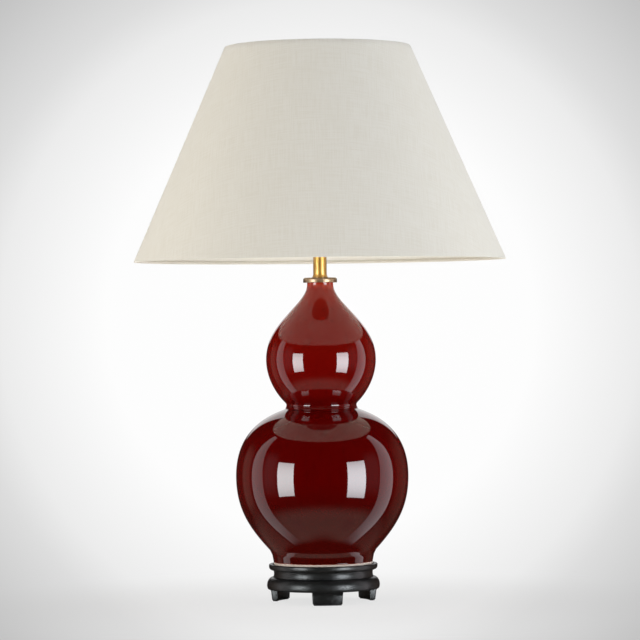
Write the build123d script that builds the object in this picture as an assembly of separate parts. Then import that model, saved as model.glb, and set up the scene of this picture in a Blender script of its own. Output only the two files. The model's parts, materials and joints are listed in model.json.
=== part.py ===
"""Double gourd table lamp: turned wooden stand, hollow glazed gourd, brass stem and lampholder,
lifting harp, and a tapered fabric shade on a spider. Millimetres, +Z up, origin on the lamp's
axis at the table. Outlines are drawn flat, with x as the radius and y as the height, and turned.
"""

from build123d import *
from math import asin, cos, degrees, radians, sin, sqrt
import os

# ---------------------------------------------------------------- driving dimensions

# Stand: felt pads, three bracket feet, a bulged apron and a dished deck
pad_thickness = 1.6
pad_inset = 1.2
foot_height = 18.0
foot_width = 45.6
foot_thickness = 9.0
foot_side_taper = 3.0
foot_toe_radius = 78.4
foot_angles = {"front": 4.7, "left": -114.0, "right": 112.0}
apron_height = 18.4
apron_inner_radius = 66.0
bulge_centre_radius = 75.4
bulge_projection = 9.5
bulge_rise = 12.5
bulge_fall = 11.0
bulge_return = 9.5
deck_height = 19.4
waist_radius = 75.2
waist_hollow = 0.9
waist_height = 10.2
rim_radius = 81.7
rim_edge_round = 1.8
rim_under_round = 5.1
deck_recess_depth = 2.4
deck_recess_clearance = 1.8
deck_panel_thickness = 10.0
deck_underside_radius = 61.0

# Gourd: hollow, thin-walled, on a turned foot ring
gasket_thickness = 1.4
gasket_width = 6.0
gasket_inset = 2.0
gourd_wall = 6.0
gourd_foot_radius = 74.4
gourd_foot_ring_width = 9.5
gourd_foot_bevel = 1.0
gourd_foot_recess = 4.0
gourd_floor_thickness = 7.6
gourd_floor_radius = 63.0
foot_flare_height = 18.6
foot_flare_radius = 77.4
belly_level = 132.6
belly_radius = 129.85
belly_start_reach = (33.0, 35.7)
belly_lower_handle = 49.1
belly_upper_handle = 53.1
shoulder_reach = (48.7, 16.2)
waist_level = 233.6
gourd_waist_radius = 54.2
waist_band_height = 9.0
crown_level = 308.1
crown_radius = 82.7
crown_start_reach = (1.6, 1.4)
crown_lower_handle = 38.6
crown_upper_handle = 56.9
neck_level = 421.2
neck_radius = 19.6
neck_handle = 30.5
neck_lip = 3.6
bung_length = 12.0

# Brass fittings above the neck
cap_flange_radius = 25.5
cap_thickness = 7.5
cap_recess_depth = 1.5
cap_lip_bevel = 0.7
cap_edge_round = 3.0
collar_radius = 12.0
collar_height = 4.0
collar_foot_height = 1.0
collar_lip_width = 0.5
collar_sweep = (0.4, 0.6)
stem_radius = 10.15
stem_wall = 1.0
stem_height = 36.8
stem_end_thickness = 2.5

# Hollow threaded rod and what clamps it
rod_radius = 4.95
rod_bore_radius = 4.0
rod_tail = 8.0
rod_holder_engagement = 6.5
washer_radius = 16.0
washer_thickness = 1.6
lock_washer_radius = 8.5
lock_washer_thickness = 1.0
nut_across_flats = 14.0
nut_height = 4.0
nut_bevel = 0.8
bush_bore_radius = 3.3
bush_flange_radius = 6.2
bush_flange_thickness = 1.5
bush_spigot_length = 8.0

# Harp: saddle, wire loop, lock sleeves and swivel stud
saddle_thickness = 1.5
saddle_width = 14.0
saddle_bend_radius = 5.0
saddle_arm_height = 16.0
saddle_tip_width = 5.0
harp_leg_spacing = 55.0
harp_wire_radius = 1.75
harp_height = 290.5
harp_post_length = 10.0
harp_leg_straight = 30.0
harp_width = 113.0
harp_widest_level = 90.0
harp_shoulder_width = 84.0
harp_foot_bend = 30.0
harp_side_bend = 45.0
harp_shoulder_bend = 37.0
harp_boss_radius = 5.5
harp_boss_height = 5.0
harp_boss_bevel = 0.8
sleeve_wall = 1.35
sleeve_length = 18.0
sleeve_bevel = 0.4
stud_shank_radius = 2.5
stud_flange_radius = 8.0
stud_flange_thickness = 2.0
stud_thread_radius = 3.1
stud_length = 10.0
stud_bevel = 0.6
stud_head_radius = 4.5
stud_head_thickness = 1.5

# Lampholder, screw size 27
holder_radius = 18.0
holder_wall = 0.8
holder_boss_radius = 8.5
holder_boss_height = 3.5
holder_cap_height = 16.5
holder_spigot_length = 3.0
holder_barrel_height = 30.0
holder_dome_round = 9.0
insulator_base_thickness = 6.8
insulator_rim_height = 8.0
screw_shell_radius = 13.45
screw_shell_wall = 0.4
screw_shell_height = 23.8
skirt_height = 6.0
ring_radius = 20.4
ring_height = 8.0
ring_flange_radius = 22.0
ring_flange_thickness = 1.6
contact_thickness = 0.5
contact_rise = 1.4
contact_width = 6.0
contact_length = 16.0
terminal_screw_radius = 2.0
terminal_screw_offset = 12.6
terminal_screw_length = 5.2
switch_bar_radius = 2.0
switch_travel = 6.0
switch_button_radius = 3.2
switch_button_length = 2.6
switch_button_bevel = 0.7
switch_level = 11.6

# Bulb, 60 mm opal globe on a screw cap
bulb_length = 108.0
bulb_radius = 30.0
bulb_cap_radius = 13.15
bulb_cap_height = 21.0
bulb_contact_radius = 4.6
bulb_contact_height = 1.8
bulb_contact_bevel = 0.9
bulb_insulator_radius = 10.6
bulb_insulator_height = 3.5
bulb_insulator_step = 1.0
bulb_collar_radius = 13.8
bulb_collar_height = 2.0
bulb_body_height = 37.0
bulb_body_handles = ((1.0, 12.0), (0.0, 14.0))
bulb_joint_step = 0.4
bulb_side_handle = 26.8
bulb_crown_handle = 17.4
bulb_shell = 1.6

# Shade: wire rings, spider, laminated cover, lining and turned hems
shade_bottom_diameter = 560.0
shade_top_diameter = 279.5
shade_height = 322.0
cover_thickness = 1.0
lining_thickness = 0.8
ring_wire_radius = 1.5
hem_thickness = 0.6
hem_height = 5.2
hem_bevel = 0.4
spider_drop = 20.2
spider_wire_radius = 1.6
spider_arm_count = 3
spider_hub_radius = 12.0
spider_hub_thickness = 1.6
spider_flat_length = 12.0
spider_bend = 14.0
finial_washer_radius = 7.5
finial_washer_thickness = 1.0
finial_base_radius = 6.5
finial_base_height = 3.4
finial_neck_radius = 4.7
finial_neck_height = 3.4
finial_knob_handles = (6.6, 2.4, 6.8)
finial_height = 17.0

# Clearances
loose_clearance = 0.35
running_clearance = 0.05
seat_clearance = 0.1
thread_clearance = 0.05
cut_margin = 1.0

# ---------------------------------------------------------------- levels, from the table up

apron_bottom = pad_thickness + foot_height
deck_bottom = apron_bottom + apron_height
deck_top = deck_bottom + deck_height
recess_floor = deck_top - deck_recess_depth
panel_underside = recess_floor - deck_panel_thickness
gourd_base = recess_floor + gasket_thickness
neck_top = gourd_base + neck_level + neck_lip
cap_bottom = neck_top - cap_recess_depth
cap_top = cap_bottom + cap_thickness
saddle_bottom = cap_top + stem_height
saddle_top = saddle_bottom + saddle_thickness
washer_bottom = panel_underside - washer_thickness
lock_washer_bottom = washer_bottom - lock_washer_thickness
nut_bottom = lock_washer_bottom - nut_height
rod_bottom = nut_bottom - rod_tail
rod_top = saddle_top + rod_holder_engagement
post_bottom = saddle_bottom + saddle_arm_height
harp_foot = post_bottom + harp_post_length + seat_clearance
spider_seat = saddle_bottom + harp_height
stud_flange_bottom = spider_seat - stud_flange_thickness
harp_top = stud_flange_bottom - seat_clearance - harp_boss_height / 2
barrel_bottom = saddle_top + holder_cap_height
barrel_top = barrel_bottom + holder_barrel_height
insulator_bottom = barrel_bottom + holder_spigot_length + seat_clearance
socket_floor = insulator_bottom + insulator_base_thickness
bulb_bottom = socket_floor + contact_thickness + contact_rise + seat_clearance
hub_top = spider_seat + spider_hub_thickness
shade_top = spider_seat + spider_drop
shade_bottom = shade_top - shade_height

rod_hole_radius = rod_radius + loose_clearance
shade_slope = (shade_bottom_diameter - shade_top_diameter) / 2 / shade_height
shade_wall_stretch = sqrt(1 + shade_slope ** 2)


# ---------------------------------------------------------------- helpers

def turn(face):
    """Turn a flat face about the lamp's axis."""
    return revolve(Plane.XZ * face, Axis.Z)


def lathe(*corners):
    """Turned piece from the (radius, height) corners of its outline."""
    return turn(make_face(Polyline(*corners, close=True)))


def disc_ring(inner, outer, bottom, top, bevel=0):
    """Flat ring between two radii and two levels, with its outer rims bevelled if asked."""
    if not bevel:
        return lathe((inner, bottom), (outer, bottom), (outer, top), (inner, top))
    return lathe((inner, bottom), (outer - bevel, bottom), (outer, bottom + bevel),
                 (outer, top - bevel), (outer - bevel, top), (inner, top))


def disc(radius, bottom, top, bevel=0):
    """Solid disc on the axis, with its rims bevelled if asked."""
    return disc_ring(0, radius, bottom, top, bevel)


def inner_curve(curve, distance, steps=8):
    """Smooth curve that follows a wall's outer curve at a set distance on its left."""
    points = []
    for step in range(steps + 1):
        along = curve % (step / steps)
        points.append(curve @ (step / steps) + Vector(-along.Y, along.X) * distance)
    return Spline(*points, tangents=(curve % 0, curve % 1))


def wire_along(path, radius):
    """Round wire swept along a path of lines and tangent arcs."""
    start = Plane(origin=path @ 0, z_dir=path % 0)
    return sweep(start * Circle(radius), path=path)


def shade_radius(level, depth=0.0):
    """Radius of the shade's cone at a level, at a depth under its outer face."""
    outer = shade_top_diameter / 2 + (shade_top - level) * shade_slope
    return outer - depth * shade_wall_stretch


# ---------------------------------------------------------------- stand

def base_profile():
    """Outline of the bulged apron run down into the feet, from the toe to the apron's top."""
    centre = (bulge_centre_radius, deck_bottom - bulge_rise)
    return_angle = degrees(asin(bulge_return / bulge_fall))
    lower = EllipticalCenterArc(centre, bulge_projection, bulge_fall, -return_angle,
                                arc_size=return_angle)
    upper = EllipticalCenterArc(centre, bulge_projection, bulge_rise, 0, arc_size=90)
    toe = (foot_toe_radius, pad_thickness)
    inner_low = (apron_inner_radius, pad_thickness)
    inner_high = (apron_inner_radius, deck_bottom)
    edges = [Line(toe, lower @ 0), lower, upper, Line(upper @ 1, inner_high),
             Line(inner_high, inner_low), Line(inner_low, toe)]
    return make_face(edges)


def bracket(width, bottom, top, angle):
    """Block that tapers downwards, to cut one foot out of a turned ring."""
    depth = 2 * bulge_projection + 2 * foot_thickness
    plan = Plane(origin=(0, -foot_toe_radius, top), z_dir=(0, 0, -1)) * Rectangle(width, depth)
    return Rot(0, 0, angle) * extrude(plan, top - bottom, taper=foot_side_taper)


def make_stand():
    """Pads, feet, apron and deck."""
    base_ring = turn(base_profile())
    reach = bulge_centre_radius + 2 * bulge_projection
    apron_zone = disc_ring(apron_inner_radius / 2, reach, apron_bottom,
                           deck_bottom + cut_margin)
    feet_zone = disc_ring(foot_toe_radius - foot_thickness, reach, 0, apron_bottom)
    feet_ring = base_ring & feet_zone
    pad_ring = disc_ring(foot_toe_radius - foot_thickness + pad_inset,
                         foot_toe_radius - pad_inset, 0, pad_thickness)
    pieces = {"stand_apron": base_ring & apron_zone}
    pad_width = foot_width - 2 * pad_inset - 2 * foot_height * sin(radians(foot_side_taper))
    for side, angle in foot_angles.items():
        foot_block = bracket(foot_width, pad_thickness, apron_bottom, angle)
        pieces[f"stand_foot_{side}"] = feet_ring & foot_block
        pad_block = bracket(pad_width, 0, pad_thickness, angle)
        pieces[f"foot_pad_{side}"] = pad_ring & pad_block

    waist_top = deck_bottom + waist_height
    throat = waist_radius - waist_hollow
    recess_radius = gourd_foot_radius + deck_recess_clearance
    waist = ThreePointArc((waist_radius, deck_bottom),
                          (throat, deck_bottom + waist_height / 2), (waist_radius, waist_top))
    rim = FilletPolyline(waist @ 1, (rim_radius, waist_top), (rim_radius, deck_top),
                         (recess_radius, deck_top), radius=(rim_under_round, rim_edge_round))
    inside = Polyline((recess_radius, deck_top), (recess_radius, recess_floor),
                      (rod_hole_radius, recess_floor), (rod_hole_radius, panel_underside),
                      (deck_underside_radius, panel_underside),
                      (deck_underside_radius, deck_bottom), waist @ 0)
    pieces["stand_deck"] = turn(make_face([waist, *rim.edges(), *inside.edges()]))
    return pieces


# ---------------------------------------------------------------- gourd

def gourd_outline():
    """Outer curves of the gourd from its foot flare to its lip, bottom first."""
    flare = (foot_flare_radius, gourd_base + foot_flare_height)
    belly = (belly_radius, gourd_base + belly_level)
    waist_low = (gourd_waist_radius, gourd_base + waist_level)
    waist_high = (gourd_waist_radius, waist_low[1] + waist_band_height)
    crown = (crown_radius, gourd_base + crown_level)
    neck = (neck_radius, gourd_base + neck_level)
    swell = Bezier(flare, (flare[0] + belly_start_reach[0], flare[1] + belly_start_reach[1]),
                   (belly[0], belly[1] - belly_lower_handle), belly)
    shoulder = Bezier(belly, (belly[0], belly[1] + belly_upper_handle),
                      (waist_low[0] + shoulder_reach[0], waist_low[1] - shoulder_reach[1]),
                      waist_low)
    crown_swell = Bezier(waist_high,
                         (waist_high[0] + crown_start_reach[0], waist_high[1] + crown_start_reach[1]),
                         (crown[0], crown[1] - crown_lower_handle), crown)
    throat = Bezier(crown, (crown[0], crown[1] + crown_upper_handle),
                    (neck[0], neck[1] - neck_handle), neck)
    return swell, shoulder, crown_swell, throat


def make_gourd():
    """Hollow gourd with its foot ring, floor and rod hole, its gasket and its neck bung."""
    swell, shoulder, crown_swell, throat = gourd_outline()
    inner = [inner_curve(curve, gourd_wall) for curve in (swell, shoulder, crown_swell, throat)]
    band_radius = gourd_waist_radius - gourd_wall
    bore_radius = neck_radius - gourd_wall
    floor_low = gourd_base + gourd_foot_recess
    floor_top = floor_low + gourd_floor_thickness
    ring_inner = gourd_foot_radius - gourd_foot_ring_width
    foot = Polyline((rod_hole_radius, floor_low), (ring_inner - gourd_foot_bevel, floor_low),
                    (ring_inner, gourd_base), (gourd_foot_radius - gourd_foot_bevel, gourd_base),
                    (gourd_foot_radius, gourd_base + gourd_foot_bevel), swell @ 0)
    outer_lip = Line(throat @ 1, (neck_radius, neck_top))
    lip = Line((neck_radius, neck_top), (bore_radius, neck_top))
    inner_lip = Line((bore_radius, neck_top), inner[3] @ 1)
    band = Line(shoulder @ 1, crown_swell @ 0)
    band_low = (band_radius, (shoulder @ 1).Y)
    band_high = (band_radius, (crown_swell @ 0).Y)
    inner_band = Polyline(inner[1] @ 1, band_low, band_high, inner[2] @ 0)
    floor = Polyline(inner[0] @ 0, (gourd_floor_radius, floor_top), (rod_hole_radius, floor_top),
                     (rod_hole_radius, floor_low))
    edges = [*foot.edges(), swell, shoulder, band, crown_swell, throat, outer_lip, lip, inner_lip,
             *inner, *inner_band.edges(), *floor.edges()]
    gasket_outer = gourd_foot_radius - gasket_inset
    return {
        "gourd_body": turn(make_face(edges)),
        "foot_gasket": disc_ring(gasket_outer - gasket_width, gasket_outer, recess_floor,
                                 gourd_base),
        "neck_bung": disc_ring(rod_hole_radius, bore_radius - seat_clearance,
                               neck_top - bung_length, neck_top),
    }


# ---------------------------------------------------------------- rod and brass fittings

def make_rod_stack():
    """Hollow rod, its washers and nut under the deck, and the plastic bush at its lower end."""
    fit_radius = rod_radius + thread_clearance
    nut_blank = RegularPolygon(nut_across_flats / 2, 6, major_radius=False) - Circle(fit_radius)
    nut = Pos(0, 0, nut_bottom) * extrude(nut_blank, nut_height)
    nut_corner = nut_across_flats / 2 / cos(radians(30))
    nut_cone = disc(nut_corner, nut_bottom, nut_bottom + nut_height, nut_bevel)
    flange_bottom = rod_bottom - bush_flange_thickness
    spigot_radius = rod_bore_radius - running_clearance
    return {
        "threaded_rod": disc_ring(rod_bore_radius, rod_radius, rod_bottom, rod_top),
        "base_washer": disc_ring(rod_hole_radius, washer_radius, washer_bottom, panel_underside),
        "lock_washer": disc_ring(rod_hole_radius, lock_washer_radius, lock_washer_bottom,
                                 washer_bottom),
        "base_nut": nut & nut_cone,
        "rod_bush": lathe((bush_bore_radius, flange_bottom), (bush_flange_radius, flange_bottom),
                          (bush_flange_radius, rod_bottom), (spigot_radius, rod_bottom),
                          (spigot_radius, rod_bottom + bush_spigot_length),
                          (bush_bore_radius, rod_bottom + bush_spigot_length)),
    }


def make_stem():
    """Vase cap over the neck, collar and tube."""
    recess_radius = neck_radius + loose_clearance
    recess_top = cap_bottom + cap_recess_depth
    lip_top = (cap_flange_radius, cap_bottom + cap_lip_bevel)
    shoulder = FilletPolyline(lip_top, (cap_flange_radius, cap_top), (rod_hole_radius, cap_top),
                              radius=cap_edge_round)
    cap_rest = Polyline((rod_hole_radius, cap_top), (rod_hole_radius, recess_top),
                        (recess_radius, recess_top), (recess_radius, cap_bottom),
                        (cap_flange_radius - cap_lip_bevel, cap_bottom), lip_top)
    collar_bore = stem_radius + running_clearance
    collar_lip = collar_bore + collar_lip_width
    collar_top = cap_top + collar_height
    foot_top = cap_top + collar_foot_height
    flare = Bezier((collar_radius, foot_top),
                   (collar_lip + collar_sweep[0], foot_top + collar_sweep[1]),
                   (collar_lip, collar_top))
    collar_rest = Polyline((collar_lip, collar_top), (collar_bore, collar_top),
                           (collar_bore, cap_top), (collar_radius, cap_top),
                           (collar_radius, foot_top))
    tube_bore = stem_radius - stem_wall
    end_bottom = saddle_bottom - stem_end_thickness
    return {
        "vase_cap": turn(make_face([*shoulder.edges(), *cap_rest.edges()])),
        "stem_collar": turn(make_face([flare, *collar_rest.edges()])),
        "stem_tube": lathe((tube_bore, cap_top), (stem_radius, cap_top),
                           (stem_radius, saddle_bottom), (rod_hole_radius, saddle_bottom),
                           (rod_hole_radius, end_bottom), (tube_bore, end_bottom)),
    }


# ---------------------------------------------------------------- harp

def make_saddle():
    """Bent strip with a rod hole and an upright post at each end."""
    outer_width = harp_leg_spacing + saddle_thickness
    inner_width = harp_leg_spacing - saddle_thickness
    height = 2 * saddle_arm_height
    strip = (RectangleRounded(outer_width, height, saddle_bend_radius)
             - RectangleRounded(inner_width, height - 2 * saddle_thickness,
                                saddle_bend_radius - saddle_thickness))
    strip = Pos(0, post_bottom) * strip & Pos(0, post_bottom - height / 4) * Rectangle(
        outer_width, height / 2)
    body = extrude(Plane.XZ * strip, saddle_width / 2, both=True)
    half, tip = saddle_width / 2, saddle_tip_width / 2
    shoulder = saddle_bottom + saddle_arm_height / 2
    side = make_face(Polyline((-half, saddle_bottom), (half, saddle_bottom), (half, shoulder),
                              (tip, post_bottom), (-tip, post_bottom), (-half, shoulder),
                              close=True))
    body &= extrude(Plane.YZ * side, outer_width / 2, both=True)
    body -= Pos(0, 0, saddle_bottom) * Cylinder(rod_hole_radius, 4 * saddle_thickness)
    for x in (-harp_leg_spacing / 2, harp_leg_spacing / 2):
        body += Pos(x, 0, post_bottom) * Cylinder(
            harp_wire_radius, harp_post_length, align=(Align.CENTER, Align.CENTER, Align.MIN))
    return body


def make_harp():
    """Wire loop with its top boss, two lock sleeves and the swivel stud."""
    leg, wide, high = harp_leg_spacing / 2, harp_width / 2, harp_shoulder_width / 2
    right_side = [(leg, harp_foot), (leg, harp_foot + harp_leg_straight),
                  (wide, harp_foot + harp_widest_level), (high, harp_top)]
    left_side = [(-x, z) for x, z in reversed(right_side)]
    bends = [harp_foot_bend, harp_side_bend, harp_shoulder_bend]
    flat_path = FilletPolyline(*right_side, *left_side, radius=bends + bends[::-1])
    loop = wire_along(Plane.XZ * flat_path, harp_wire_radius)
    boss = disc(harp_boss_radius, harp_top - harp_boss_height / 2,
                harp_top + harp_boss_height / 2, harp_boss_bevel)
    eye = Pos(0, 0, harp_top) * Cylinder(stud_shank_radius + running_clearance,
                                         2 * harp_boss_height)
    head_top = harp_top - harp_boss_height / 2 - seat_clearance
    stud_top = spider_seat + stud_length
    stud = lathe((0, head_top - stud_head_thickness),
                 (stud_head_radius, head_top - stud_head_thickness), (stud_head_radius, head_top),
                 (stud_shank_radius, head_top), (stud_shank_radius, stud_flange_bottom),
                 (stud_flange_radius, stud_flange_bottom), (stud_flange_radius, spider_seat),
                 (stud_thread_radius, spider_seat), (stud_thread_radius, stud_top - stud_bevel),
                 (stud_thread_radius - stud_bevel, stud_top), (0, stud_top))
    sleeve_bore = harp_wire_radius + seat_clearance
    sleeve_bottom = post_bottom + seat_clearance
    sleeve = disc_ring(sleeve_bore, sleeve_bore + sleeve_wall, sleeve_bottom,
                       sleeve_bottom + sleeve_length, sleeve_bevel)
    return {
        "harp_saddle": make_saddle(),
        "harp_frame": loop + boss - eye,
        "harp_sleeve_left": Pos(-leg, 0, 0) * sleeve,
        "harp_sleeve_right": Pos(leg, 0, 0) * sleeve,
        "swivel_stud": stud,
    }


# ---------------------------------------------------------------- lampholder

def make_holder():
    """Brass lampholder with its insulator, screw shell, contact, rings and switch bar."""
    bore = holder_radius - holder_wall
    spigot = bore - seat_clearance
    spigot_top = barrel_bottom + holder_spigot_length
    boss_top = saddle_top + holder_boss_height
    entry = rod_radius + thread_clearance
    inner = spigot - holder_wall
    outside = FilletPolyline((holder_boss_radius, boss_top), (holder_radius, boss_top),
                             (holder_radius, barrel_bottom), radius=holder_dome_round)
    inside = FilletPolyline((inner, spigot_top), (inner, boss_top + holder_wall),
                            (entry, boss_top + holder_wall),
                            radius=holder_dome_round - holder_wall)
    spigot_edge = Polyline(outside @ 1, (spigot, barrel_bottom), (spigot, spigot_top), inside @ 0)
    boss = Polyline(inside @ 1, (entry, saddle_top), (holder_boss_radius, saddle_top),
                    outside @ 0)
    cap = turn(make_face([*outside.edges(), *spigot_edge.edges(), *inside.edges(),
                          *boss.edges()]))
    switch_axis = saddle_top + switch_level
    bar_hole = Cylinder(switch_bar_radius + running_clearance, 3 * holder_radius)
    cap -= Pos(0, 0, switch_axis) * Rot(90, 0, 0) * bar_hole

    front = holder_radius + seat_clearance + switch_travel
    rear = holder_radius + seat_clearance
    bar = Pos(0, (rear - front) / 2, switch_axis) * Rot(90, 0, 0) * Cylinder(
        switch_bar_radius, front + rear)
    button = disc(switch_button_radius, -switch_button_length / 2, switch_button_length / 2,
                  switch_button_bevel)
    for y in (-front - switch_button_length / 2, rear + switch_button_length / 2):
        bar += Pos(0, y, switch_axis) * Rot(90, 0, 0) * button

    shell_outer = screw_shell_radius + screw_shell_wall
    rim_top = socket_floor + insulator_rim_height
    insulator = lathe((0, insulator_bottom), (bore - seat_clearance, insulator_bottom),
                      (bore - seat_clearance, rim_top), (shell_outer + seat_clearance, rim_top),
                      (shell_outer + seat_clearance, socket_floor), (0, socket_floor))
    shell = disc_ring(screw_shell_radius, shell_outer, socket_floor + seat_clearance,
                      socket_floor + screw_shell_height)
    skirt_bore = shell_outer + loose_clearance
    skirt = disc_ring(skirt_bore, holder_radius, barrel_top, barrel_top + skirt_height)
    barrel = disc_ring(bore, holder_radius, barrel_bottom, barrel_top)
    ring_top = barrel_top + skirt_height - loose_clearance
    ring_bore = holder_radius + seat_clearance
    ring_bottom = ring_top - ring_height
    flange_top = ring_bottom + ring_flange_thickness
    ring = lathe((ring_bore, ring_bottom), (ring_flange_radius, ring_bottom),
                 (ring_flange_radius, flange_top), (ring_radius, flange_top),
                 (ring_radius, ring_top), (ring_bore, ring_top))

    flat, rise = contact_length / 2, socket_floor + contact_rise
    strip = Polyline((-flat, socket_floor), (-flat / 2, socket_floor), (0, rise),
                     (0, rise + contact_thickness), (-flat / 2, socket_floor + contact_thickness),
                     (-flat, socket_floor + contact_thickness), close=True)
    half_contact = extrude(Plane.XZ * make_face(strip), contact_width / 2, both=True)
    contact = half_contact + mirror(half_contact, Plane.YZ)
    screw = Cylinder(terminal_screw_radius, terminal_screw_length)
    screw_hole = Cylinder(terminal_screw_radius + running_clearance, terminal_screw_length)
    terminals = []
    for x in (-terminal_screw_offset, terminal_screw_offset):
        place = Pos(x, 0, insulator_bottom + terminal_screw_length / 2)
        insulator -= place * screw_hole
        terminals.append(place * screw)
    return {
        "holder_cap": cap,
        "holder_barrel": barrel,
        "holder_insulator": insulator,
        "screw_shell": shell,
        "centre_contact": contact,
        "terminal_screws": Compound(children=[Part() + screw for screw in terminals]),
        "holder_skirt": skirt,
        "holder_ring": ring,
        "switch_bar": bar,
    }


def make_bulb():
    """Opal globe, its housing, screw cap, insulator and contact."""
    insulator_low = bulb_bottom + bulb_contact_height
    cap_low = insulator_low + bulb_insulator_height
    cap_high = cap_low + bulb_cap_height
    body_high = cap_high + bulb_body_height
    top = bulb_bottom + bulb_length
    rim_radius_inside = bulb_radius - bulb_shell
    collar_high = cap_high + bulb_collar_height
    joint_radius = bulb_radius - bulb_joint_step
    (collar_out, collar_up), (joint_out, joint_down) = bulb_body_handles
    flare = Bezier((bulb_collar_radius, collar_high),
                   (bulb_collar_radius + collar_out, collar_high + collar_up),
                   (joint_radius - joint_out, body_high - joint_down), (joint_radius, body_high))
    body_rest = Polyline(flare @ 1, (0, body_high), (0, cap_high), (bulb_collar_radius, cap_high),
                         flare @ 0)
    outer_dome = Bezier((bulb_radius, body_high), (bulb_radius, body_high + bulb_side_handle),
                        (bulb_crown_handle, top), (0, top))
    inner_dome = Bezier((0, top - bulb_shell), (bulb_crown_handle - bulb_shell, top - bulb_shell),
                        (rim_radius_inside, body_high + bulb_side_handle),
                        (rim_radius_inside, body_high))
    contact_low_radius = bulb_contact_radius - bulb_contact_bevel
    step_radius = bulb_contact_radius + bulb_insulator_step
    return {
        "bulb_contact": lathe((0, bulb_bottom), (contact_low_radius, bulb_bottom),
                              (bulb_contact_radius, bulb_bottom + bulb_contact_bevel),
                              (bulb_contact_radius, insulator_low), (0, insulator_low)),
        "bulb_insulator": lathe((0, insulator_low), (step_radius, insulator_low),
                                (bulb_insulator_radius, cap_low), (0, cap_low)),
        "bulb_cap": disc(bulb_cap_radius, cap_low, cap_high),
        "bulb_body": turn(make_face([flare, *body_rest.edges()])),
        "bulb_dome": turn(make_face([outer_dome, Line(outer_dome @ 1, inner_dome @ 0), inner_dome,
                                     Line(inner_dome @ 1, outer_dome @ 0)])),
    }


# ---------------------------------------------------------------- shade

def cone_shell(low, high, near, far):
    """Turned sheet between two depths under the shade's outer face and two levels."""
    return lathe((shade_radius(low, far), low), (shade_radius(low, near), low),
                 (shade_radius(high, near), high), (shade_radius(high, far), high))


def hem(rim, side):
    """Tape folded under a rim's wire ring and along the ring's inner side; side is 1 for up."""
    near = cover_thickness + seat_clearance
    far = near + 2 * (ring_wire_radius + running_clearance) + hem_thickness
    fold = [(near, 0), (far - hem_bevel, 0), (far, hem_bevel), (far, hem_height),
            (far - hem_thickness, hem_height), (far - hem_thickness, hem_thickness),
            (near, hem_thickness)]
    return lathe(*[(shade_radius(rim + side * rise, depth), rim + side * rise)
                   for depth, rise in fold])


def make_spider(ring_level, arm_depth):
    """Flat hub with wire arms that rise to the top ring, cut off along its hem."""
    hub_middle = (spider_seat + hub_top) / 2
    arm_start = spider_hub_radius - spider_wire_radius
    elbow = spider_hub_radius + spider_flat_length
    arm_end = shade_radius(ring_level, arm_depth - 2 * spider_wire_radius)
    arm_path = FilletPolyline((arm_start, hub_middle), (elbow, hub_middle),
                              (arm_end, ring_level), radius=spider_bend)
    arm = wire_along(Plane.XZ * arm_path, spider_wire_radius)
    low, high = spider_seat - 2 * spider_wire_radius, shade_top
    inside_hem = lathe((0, low), (shade_radius(low, arm_depth), low),
                       (shade_radius(high, arm_depth), high), (0, high))
    arm &= inside_hem
    spider = disc_ring(stud_thread_radius + loose_clearance, spider_hub_radius, spider_seat,
                       hub_top)
    for index in range(spider_arm_count):
        spider += Rot(0, 0, 90 + index * 360 / spider_arm_count) * arm
    return spider


def make_finial():
    """Turned knob on its captive washer."""
    washer_top = hub_top + finial_washer_thickness
    bore = stud_thread_radius + seat_clearance
    bore_top = spider_seat + stud_length + seat_clearance
    base_top = washer_top + finial_base_height
    neck_top_level = base_top + finial_neck_height
    finial_top = washer_top + finial_height
    knob_low_reach, knob_rise, knob_high_reach = finial_knob_handles
    neck = Bezier((finial_base_radius, base_top), (finial_neck_radius, base_top),
                  (finial_neck_radius, neck_top_level))
    knob = Bezier(neck @ 1, (knob_low_reach, neck_top_level + knob_rise),
                  (knob_high_reach, finial_top), (0, finial_top))
    rest = Polyline((0, finial_top), (0, bore_top), (bore, bore_top), (bore, washer_top),
                    (finial_base_radius, washer_top), (finial_base_radius, base_top))
    return {
        "finial": turn(make_face([neck, knob, *rest.edges()])),
        "finial_washer": disc_ring(stud_thread_radius + loose_clearance, finial_washer_radius,
                                   hub_top, washer_top),
    }


def make_shade():
    """Cover, lining, wire rings with their hems, spider and finial."""
    lining_depth = cover_thickness + loose_clearance
    wire_room = ring_wire_radius + running_clearance
    wire_depth = cover_thickness + seat_clearance + wire_room
    lining_low = shade_bottom + hem_height + seat_clearance
    lining_high = shade_top - hem_height - seat_clearance
    pieces = {
        "shade_cover": cone_shell(shade_bottom, shade_top, 0, cover_thickness),
        "shade_lining": cone_shell(lining_low, lining_high, lining_depth,
                                   lining_depth + lining_thickness),
    }
    for end, rim, side in (("bottom", shade_bottom, 1), ("top", shade_top, -1)):
        level = rim + side * (hem_thickness + wire_room)
        wire = Pos(shade_radius(level, wire_depth), level) * Circle(ring_wire_radius)
        pieces[f"{end}_ring"] = turn(wire)
        pieces[f"{end}_hem"] = hem(rim, side)
    top_level = shade_top - hem_thickness - wire_room
    arm_depth = wire_depth + wire_room + hem_thickness + seat_clearance
    pieces["spider"] = make_spider(top_level, arm_depth)
    pieces.update(make_finial())
    return pieces


# ---------------------------------------------------------------- write the pieces

def main():
    """Build every piece and write each to its own file."""
    os.makedirs("parts", exist_ok=True)
    pieces = {}
    for maker in (make_stand, make_gourd, make_rod_stack, make_stem, make_harp, make_holder,
                  make_bulb, make_shade):
        pieces.update(maker())
    for node, shape in pieces.items():
        export_step(shape, f"parts/{node}.step")


main()
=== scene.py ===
"""Double gourd table lamp: every piece's shape and finish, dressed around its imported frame.

The scene is in metres. Sizes below are in millimetres and become metres through MM. The lamp
stands on its own axis with +Z up, and its front foot points to -Y. A turned piece is given by
its outline, as (radius, height) points.
"""

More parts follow.
